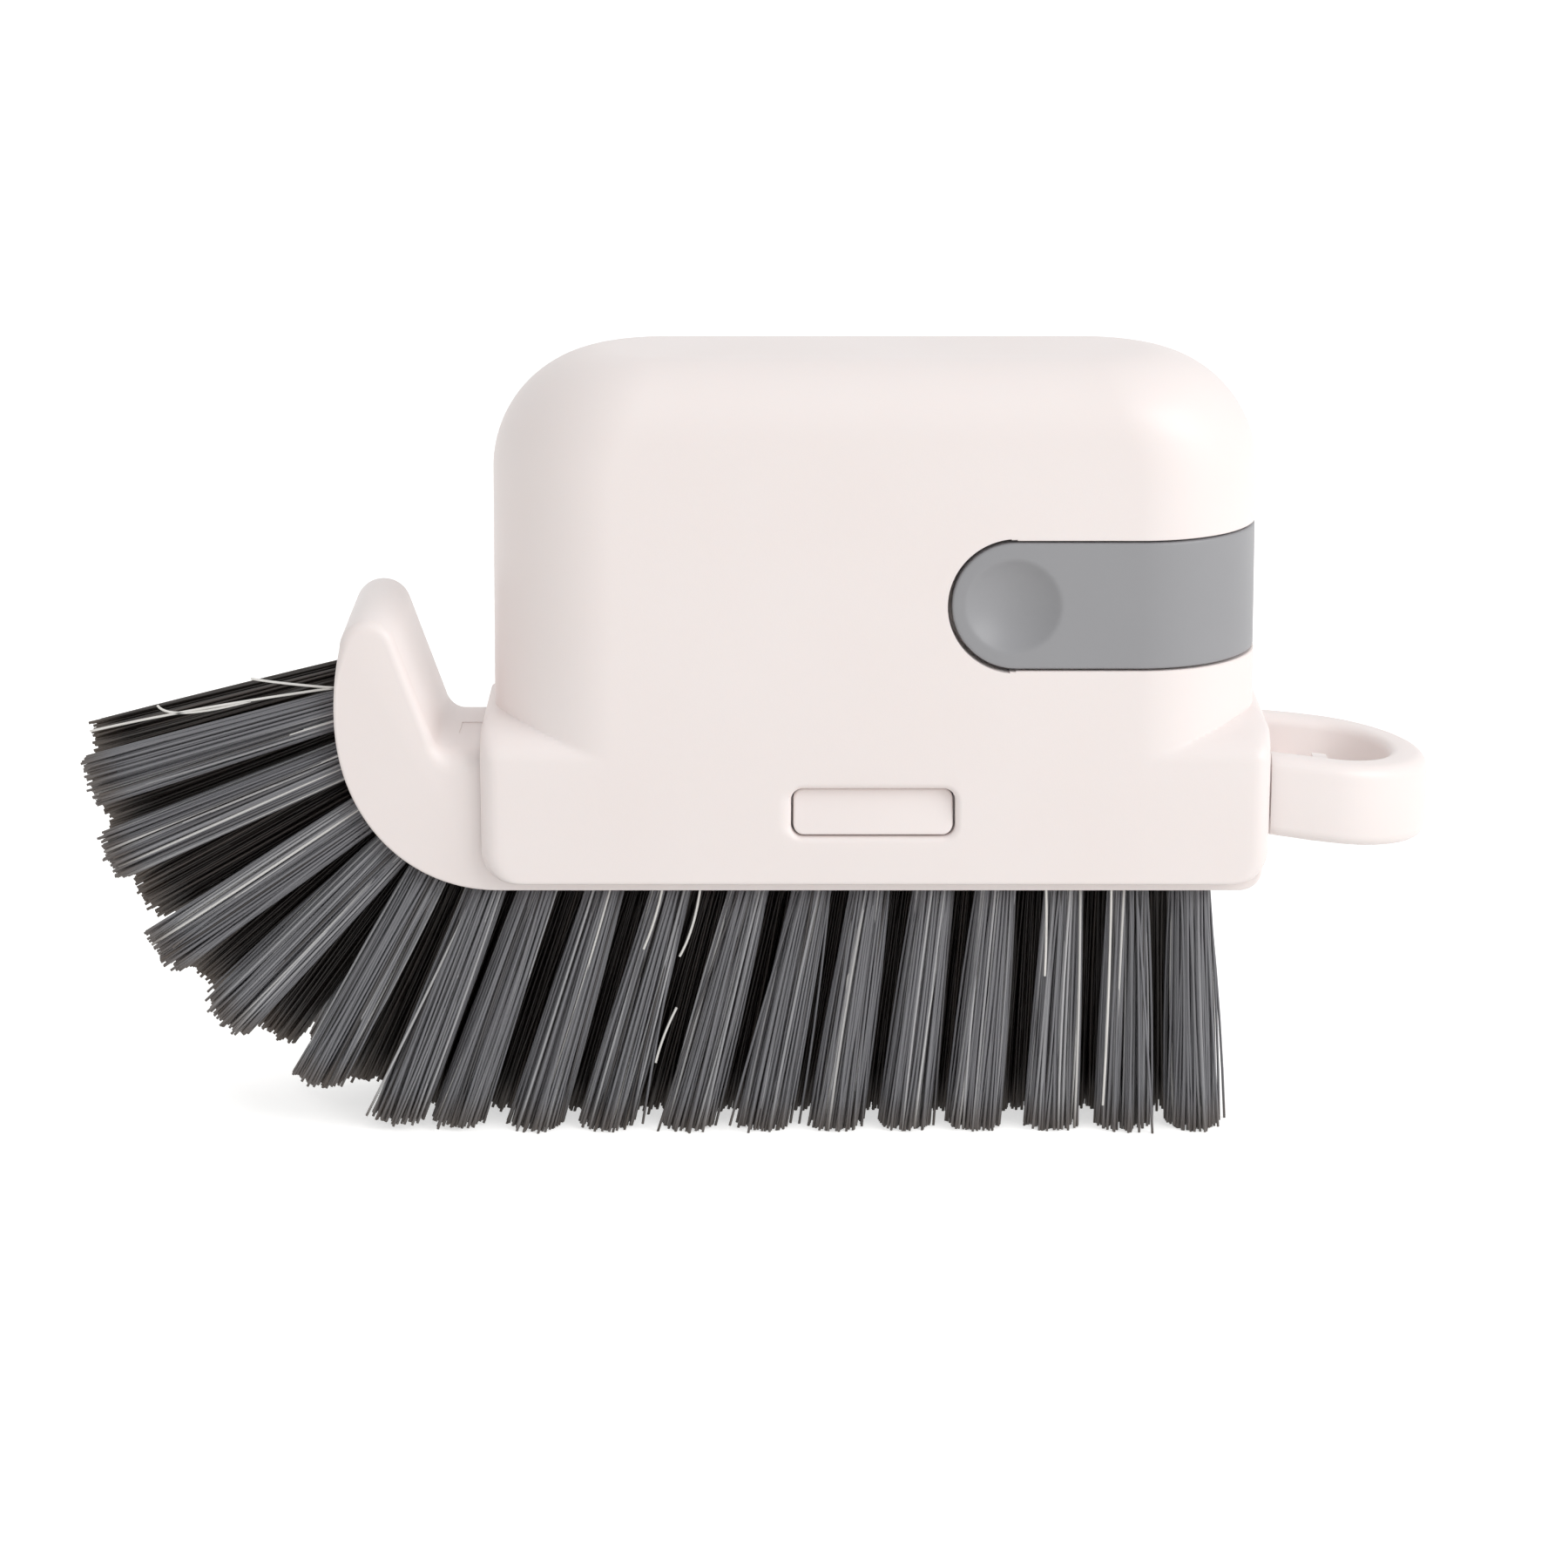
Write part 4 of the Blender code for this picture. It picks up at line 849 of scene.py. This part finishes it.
def bristleTree():
    tree = bpy.data.node_groups.new("bristleTufts", "GeometryNodeTree")
    sockets = tree.interface
    sockets.new_socket("Geometry", in_out="INPUT", socket_type="NodeSocketGeometry")
    for name, kind in (("Filaments", "Int"), ("Root Radius", "Float"), ("Tip Radius", "Float"),
                       ("Width", "Float"), ("Scatter", "Float"), ("Bend", "Float"), ("Uneven", "Float"),
                       ("Seed", "Int"), ("Material", "Material")):
        sockets.new_socket(name, in_out="INPUT", socket_type="NodeSocket" + kind)
    sockets.new_socket("Geometry", in_out="OUTPUT", socket_type="NodeSocketGeometry")
    given = addNode(tree, "NodeGroupInput").outputs
    result = addNode(tree, "NodeGroupOutput")
    copies = addNode(tree, "GeometryNodeDuplicateElements", {"domain": "POINT"},
                     {"Geometry": given["Geometry"], "Amount": given["Filaments"]}).outputs
    here = addNode(tree, "GeometryNodeInputPosition").outputs[0]
    known = {socket.name: socket for socket in given}
    known.update({"copy": copies[1], "here": here})
    for name in ("tipPoint", "rootAxis", "tipAxis", "bow", "along"):
        kind = "FLOAT" if name == "along" else "FLOAT_VECTOR"
        known[name] = addNode(tree, "GeometryNodeInputNamedAttribute", {"data_type": kind},
                              {"Name": name}).outputs[0]

    # what differs from filament to filament, each draw with a seed of its own
    for salt, name, low, high in ((1, "anyTurn", -0.25, 0.25), (2, "anyLoose", 0.0, 1.0),
                                  (3, "anyScatter", (-1, -1, -0.3), (1, 1, 0.3)), (4, "anyTone", 0.0, 1.0),
                                  (5, "anyBow", (-1, -1, 0), (1, 1, 0)), (6, "anyShort", 0.0, 1.0)):
        seed = addNode(tree, "ShaderNodeMath", {"operation": "ADD"}, {0: given["Seed"], 1: salt}).outputs[0]
        first = 0 if isinstance(low, tuple) else 2      # vector sockets come before number sockets
        draw = addNode(tree, "FunctionNodeRandomValue", {"data_type": "FLOAT" if first else "FLOAT_VECTOR"},
                       {first: low, first + 1: high, 8: seed})
        known[name] = draw.outputs[first // 2]

    # the sums: the name of each, its node and operation, and what it works on
    number, vector = "ShaderNodeMath", "ShaderNodeVectorMath"
    sums = (
        # each tuft's point becomes a disc of filament roots, set out on a sunflower spiral
        ("share", number, "ADD", "copy", 0.5),
        ("share", number, "DIVIDE", "share", "Filaments"),
        ("reach", number, "SQRT", "share"),
        ("angle", number, "MULTIPLY", "copy", tuft["spiralTurn"]),
        ("angle", number, "ADD", "angle", "anyTurn"),
        ("cosine", number, "COSINE", "angle"),
        ("sine", number, "SINE", "angle"),
        ("lengthwise", number, "MULTIPLY", "reach", "cosine"),
        ("crosswise", number, "MULTIPLY", "reach", "sine"),
        ("acrossRow", vector, "SCALE", (0, 1, 0), "crosswise"),
        ("rootShift", vector, "SCALE", "rootAxis", "lengthwise"),
        ("rootShift", vector, "ADD", "rootShift", "acrossRow"),
        ("rootShift", vector, "SCALE", "rootShift", "Root Radius"),
        ("tipShift", vector, "SCALE", "tipAxis", "lengthwise"),
        ("tipShift", vector, "ADD", "tipShift", "acrossRow"),
        ("tipShift", vector, "SCALE", "tipShift", "Tip Radius"),
        # the tips scatter, a few of them far
        ("loose", number, "GREATER_THAN", "anyLoose", tuft["looseFrom"]),
        ("loose", number, "MULTIPLY", "loose", tuft["looseReach"]),
        ("loose", number, "ADD", 1.0, "loose"),
        ("scatter", vector, "SCALE", "anyScatter", "Scatter"),
        ("scatter", vector, "SCALE", "scatter", "loose"),
        ("tip", vector, "ADD", "tipPoint", "tipShift"),
        ("tip", vector, "ADD", "tip", "scatter"),
        ("newBow", vector, "SCALE", "anyBow", "Bend"),
        # a strand runs from its root to its tip, a little short and a little bowed
        ("run", vector, "SUBTRACT", "tipPoint", "here"),
        ("length", vector, "LENGTH", "run"),
        ("short", number, "MULTIPLY", "anyShort", "Uneven"),
        ("length", number, "SUBTRACT", "length", "short"),
        ("rest", number, "SUBTRACT", 1.0, "along"),
        ("arch", number, "MULTIPLY", "along", "rest"),
        ("arch", number, "MULTIPLY", "arch", 4.0),      # 1 at the middle, 0 at both ends
        ("bend", vector, "SCALE", "bow", "arch"),
    )
    for name, kind, operation, *sources in sums:
        values = [known[source] if isinstance(source, str) else source for source in sources]
        second = 3 if operation == "SCALE" else 1      # a vector's factor has a socket of its own
        node = addNode(tree, kind, {"operation": operation}, dict(zip((0, second), values)))
        known[name] = node.outputs[1 if operation == "LENGTH" else 0]

    points = addNode(tree, "GeometryNodeSetPosition", None,
                     {"Geometry": copies[0], "Offset": known["rootShift"]}).outputs[0]
    for name, kind, source in (("tipPoint", "FLOAT_VECTOR", "tip"), ("tone", "FLOAT", "anyTone"),
                               ("bow", "FLOAT_VECTOR", "newBow")):
        points = addNode(tree, "GeometryNodeStoreNamedAttribute", {"data_type": kind, "domain": "POINT"},
                         {"Geometry": points, "Name": name, "Value": known[source]}).outputs[0]

    # one strand of unit length, which knows how far along it each point lies
    strand = addNode(tree, "GeometryNodeMeshCylinder", {"fill_type": "NGON"},
                     {"Vertices": tuft["sides"], "Side Segments": tuft["segments"], "Radius": 0.5,
                      "Depth": 1.0}).outputs[0]
    strand = addNode(tree, "GeometryNodeTransform", None,
                     {"Geometry": strand, "Translation": (0, 0, 0.5)}).outputs[0]
    height = addNode(tree, "ShaderNodeSeparateXYZ", None, {"Vector": here}).outputs["Z"]
    strand = addNode(tree, "GeometryNodeStoreNamedAttribute", {"data_type": "FLOAT", "domain": "POINT"},
                     {"Geometry": strand, "Name": "along", "Value": height}).outputs[0]

    size = addNode(tree, "ShaderNodeCombineXYZ", None,
                   {"X": given["Width"], "Y": given["Width"], "Z": known["length"]}).outputs[0]
    turn = addNode(tree, "FunctionNodeAlignRotationToVector", {"axis": "Z"},
                   {"Vector": known["run"]}).outputs[0]
    solid = addNode(tree, "GeometryNodeInstanceOnPoints", None,
                    {"Points": points, "Instance": strand, "Rotation": turn, "Scale": size}).outputs[0]
    for kind, inputs in (("RealizeInstances", {}), ("SetPosition", {"Offset": known["bend"]}),
                         ("SetShadeSmooth", {}), ("SetMaterial", {"Material": given["Material"]})):
        solid = addNode(tree, "GeometryNode" + kind, None, {"Geometry": solid, **inputs}).outputs[0]
    tree.links.new(solid, result.inputs[0])
    return tree


tuftTree = bristleTree()


def growBristles(name, tufts, seed, *nodes):
    mesh = bpy.data.meshes.new(name)
    mesh.from_pydata([place(item[0]) for item in tufts], [], [])
    for key, kind, values in (("tipPoint", "FLOAT_VECTOR", [place(item[1]) for item in tufts]),
                              ("rootAxis", "FLOAT_VECTOR", [tuple(item[2]) for item in tufts]),
                              ("tipAxis", "FLOAT_VECTOR", [tuple(item[3]) for item in tufts]),
                              ("inner", "FLOAT", [item[4] for item in tufts])):
        layer = mesh.attributes.new(key, kind, "POINT")
        for index, one in enumerate(values):
            if kind == "FLOAT":
                layer.data[index].value = one
            else:
                layer.data[index].vector = one
    piece = addObject(name, mesh)
    modifier = piece.modifiers.new("tufts", "NODES")
    modifier.node_group = tuftTree
    size = tuft["innerTuft" if tufts[0][4] else "outerTuft"]
    sizes = {key: tuft[key] * mm for key in ("Scatter", "Bend", "Uneven")}
    sizes.update({key: size[key] * mm for key in ("Root Radius", "Tip Radius", "Width")})
    sizes.update({"Filaments": size["Filaments"], "Seed": seed, "Material": filamentNylon})
    for item in tuftTree.interface.items_tree:
        if item.in_out == "INPUT" and item.name in sizes:
            modifier[item.identifier] = sizes[item.name]
    applyModifiers(piece)
    finishPiece(piece, filamentNylon, "brush_head", "grey_bristle", *nodes)


frontRow, backRow = (-tuft["rowOffset"],), (tuft["rowOffset"],)
innerDistances = [tuft["innerStart"] + tuft["innerPitch"] * index for index in range(tuft["innerCount"])]
noseNodes = ("bristles_nose_lower", "bristles_nose_upper")
noseOuter = tuftPoints(tuft["outerNose"], frontRow, 0.0) + tuftPoints(tuft["backNose"], backRow, 0.0)
growBristles("frontTufts", tuftPoints(tuft["outer"], frontRow, 0.0), 11, "bristles_front")
# the middle row takes the charcoal tones, partly painted shade between the front tufts
growBristles("middleTufts", tuftPoints(innerDistances, (0,), 1.0), 12, "bristles_middle")
growBristles("backTufts", tuftPoints(tuft["outer"], backRow, 0.0), 13, "bristles_back")
growBristles("noseOuterTufts", noseOuter, 14, *noseNodes)
growBristles("noseInnerTufts", tuftPoints(tuft["innerNose"], (0,), 1.0), 15, *noseNodes)


# loose hairs on and among the tufts, near-white as painted light where the backdrop shows between tufts: the
# depth of each, and three points along it
strays = {
    "width": 0.3, "sides": 6, "steps": 14,
    "paths": (
        (-8.2, (-61.6, 21.7), (-77.3, 19.2), (-90.9, 16.4)),
        (-8.2, (-61.6, 21.5), (-68.0, 22.1), (-72.1, 22.7)),
        (-8.2, (-83.0, 19.5), (-79.7, 18.6), (-72.2, 20.0)),
        (-10.9, (-24.6, -1.6), (-25.6, -5.6), (-26.9, -9.2)),
        (-10.9, (-20.2, -1.6), (-21.2, -6.4), (-22.7, -10.1)),
        (-10.6, (-23.1, -16.5), (-24.6, -20.0), (-25.6, -23.3)),
        (-10.9, (20.0, -1.6), (20.1, -7.2), (20.0, -12.5)),
        (-10.9, (27.6, -1.6), (27.5, -15.0), (27.1, -28.5)),
    ),
}


def growStrays():
    k = strays
    meshData = bmesh.new()
    for depth, first, middle, last in k["paths"]:
        rings = []
        for step in range(k["steps"] + 1):
            share = step / k["steps"]
            weights = ((1 - share) * (1 - 2 * share), 4 * share * (1 - share), share * (2 * share - 1))
            slopes = (4 * share - 3, 4 - 8 * share, 4 * share - 1)
            x, z = (sum(w * p[axis] for w, p in zip(weights, (first, middle, last))) for axis in (0, 1))
            goX, goZ = (sum(w * p[axis] for w, p in zip(slopes, (first, middle, last))) for axis in (0, 1))
            run = math.hypot(goX, goZ)
            ring = []
            for side in range(k["sides"]):
                angle = 2 * math.pi * side / k["sides"]
                across = k["width"] / 2 * math.cos(angle)
                ring.append((x - goZ / run * across, depth + k["width"] / 2 * math.sin(angle),
                             z + goX / run * across))
            rings.append(ring)
        skin(meshData, rings)
    bmesh.ops.recalc_face_normals(meshData, faces=meshData.faces)
    piece = objectFromMesh("looseHairs", meshData)
    # tone 1 gives the hairs the near-white colour, painted light for the backdrop between the tufts
    for name, amount in (("tone", 1.0), ("along", 0.0), ("inner", 0.0)):
        layer = piece.data.attributes.new(name, "FLOAT", "POINT")
        for item in layer.data:
            item.value = amount
    softShade(piece, 60)
    return piece


finishPiece(growStrays(), filamentNylon, "brush_head", "grey_bristle")
print("bristles ready")


# the camera stands above the crown and looks down at the front a little, as in the photograph
view = {"aim": (-10.5, -14.5, 11.8), "pitch": 15.5, "distance": 520.0, "lens": 104.0, "sensor": 36,
        "near": 0.01}      # metres, the nearest that it sees
pitch = math.radians(view["pitch"])
aimX, aimY, aimZ = view["aim"]
camera = addObject("camera", bpy.data.cameras.new("camera"))
camera.location = place((aimX, aimY - view["distance"] * math.cos(pitch),
                         aimZ + view["distance"] * math.sin(pitch)))
camera.rotation_euler = (math.radians(90) - pitch, 0, 0)
camera.data.lens = view["lens"]
camera.data.sensor_width = view["sensor"]
camera.data.clip_start = view["near"]
bpy.context.scene.camera = camera


studio = {"floorSize": 4.0, "card": "F2F1EF", "floorGlow": 0.58, "room": 0.722}     # the size in metres


def seenDirectly(tree):  # 1 for what the camera sees, straight or by way of metal or glass
    rays = addNode(tree, "ShaderNodeLightPath").outputs
    seen = addNode(tree, "ShaderNodeMath", {"operation": "MAXIMUM"},
                   {0: rays["Is Camera Ray"], 1: rays["Is Glossy Ray"]})
    return addNode(tree, "ShaderNodeMath", {"operation": "MAXIMUM"},
                   {0: seen.outputs[0], 1: rays["Is Transmission Ray"]}).outputs[0]


def paleFloor():  # matt card: takes the shadow, and is white where the camera sees it unshadowed
    material, tree, output = newMaterial("paleCard")
    card = addNode(tree, "ShaderNodeBsdfDiffuse", None, {"Color": linear(studio["card"])})
    glow = addNode(tree, "ShaderNodeEmission", None, {"Color": (1, 1, 1, 1), "Strength": studio["floorGlow"]})
    both = addNode(tree, "ShaderNodeAddShader", None, {0: card.outputs[0], 1: glow.outputs[0]})
    mix = addNode(tree, "ShaderNodeMixShader", None,
                  {0: seenDirectly(tree), 1: card.outputs[0], 2: both.outputs[0]})
    tree.links.new(mix.outputs[0], output.inputs["Surface"])
    return material


# pale studio floor, white to the camera, which keeps the shadow of the object
reach = studio["floorSize"]
floorLevel = place((0, 0, tuft["floorZ"]))[2]
floorMesh = bpy.data.meshes.new("studioFloor")
corners = ((-reach, -reach), (reach, -reach), (reach, reach), (-reach, reach))
floorMesh.from_pydata([(x, y, floorLevel) for x, y in corners], [], [(0, 1, 2, 3)])
floorMesh.materials.append(paleFloor())
studioFloor = addObject("studioFloor", floorMesh)

# the world lights the object evenly, and is white where it is seen
bpy.context.scene.view_settings.view_transform = "Standard"
world = bpy.data.worlds.new("studio")
bpy.context.scene.world = world
world.use_nodes = True
worldTree = world.node_tree
worldTree.nodes.clear()
room = addNode(worldTree, "ShaderNodeBackground", None, {"Color": (1, 1, 1, 1), "Strength": studio["room"]})
white = addNode(worldTree, "ShaderNodeBackground", None, {"Color": (1, 1, 1, 1), "Strength": 1.0})
backdrop = addNode(worldTree, "ShaderNodeMixShader", None,
                   {0: seenDirectly(worldTree), 1: room.outputs[0], 2: white.outputs[0]})
addNode(worldTree, "ShaderNodeOutputWorld", None, {"Surface": backdrop.outputs[0]})

# one soft box to the right of the front: where it stands from the housing, its size and its power
softBox = {"azimuth": 56, "elevation": 27, "distance": 1.0, "aimZ": 10, "size": (0.7, 0.6), "power": 4.2}
lamp = bpy.data.lights.new("key", "AREA")
lamp.shape = "RECTANGLE"
lamp.size, lamp.size_y = softBox["size"]
lamp.energy = softBox["power"]
holder = addObject("key", lamp)
azimuth, elevation = math.radians(softBox["azimuth"]), math.radians(softBox["elevation"])
away = Vector((math.sin(azimuth) * math.cos(elevation), -math.cos(azimuth) * math.cos(elevation),
               math.sin(elevation)))
holder.location = Vector(place((0, 0, softBox["aimZ"]))) + away * softBox["distance"]
holder.rotation_euler = away.to_track_quat("Z", "Y").to_euler()
print("camera, floor and lights ready")
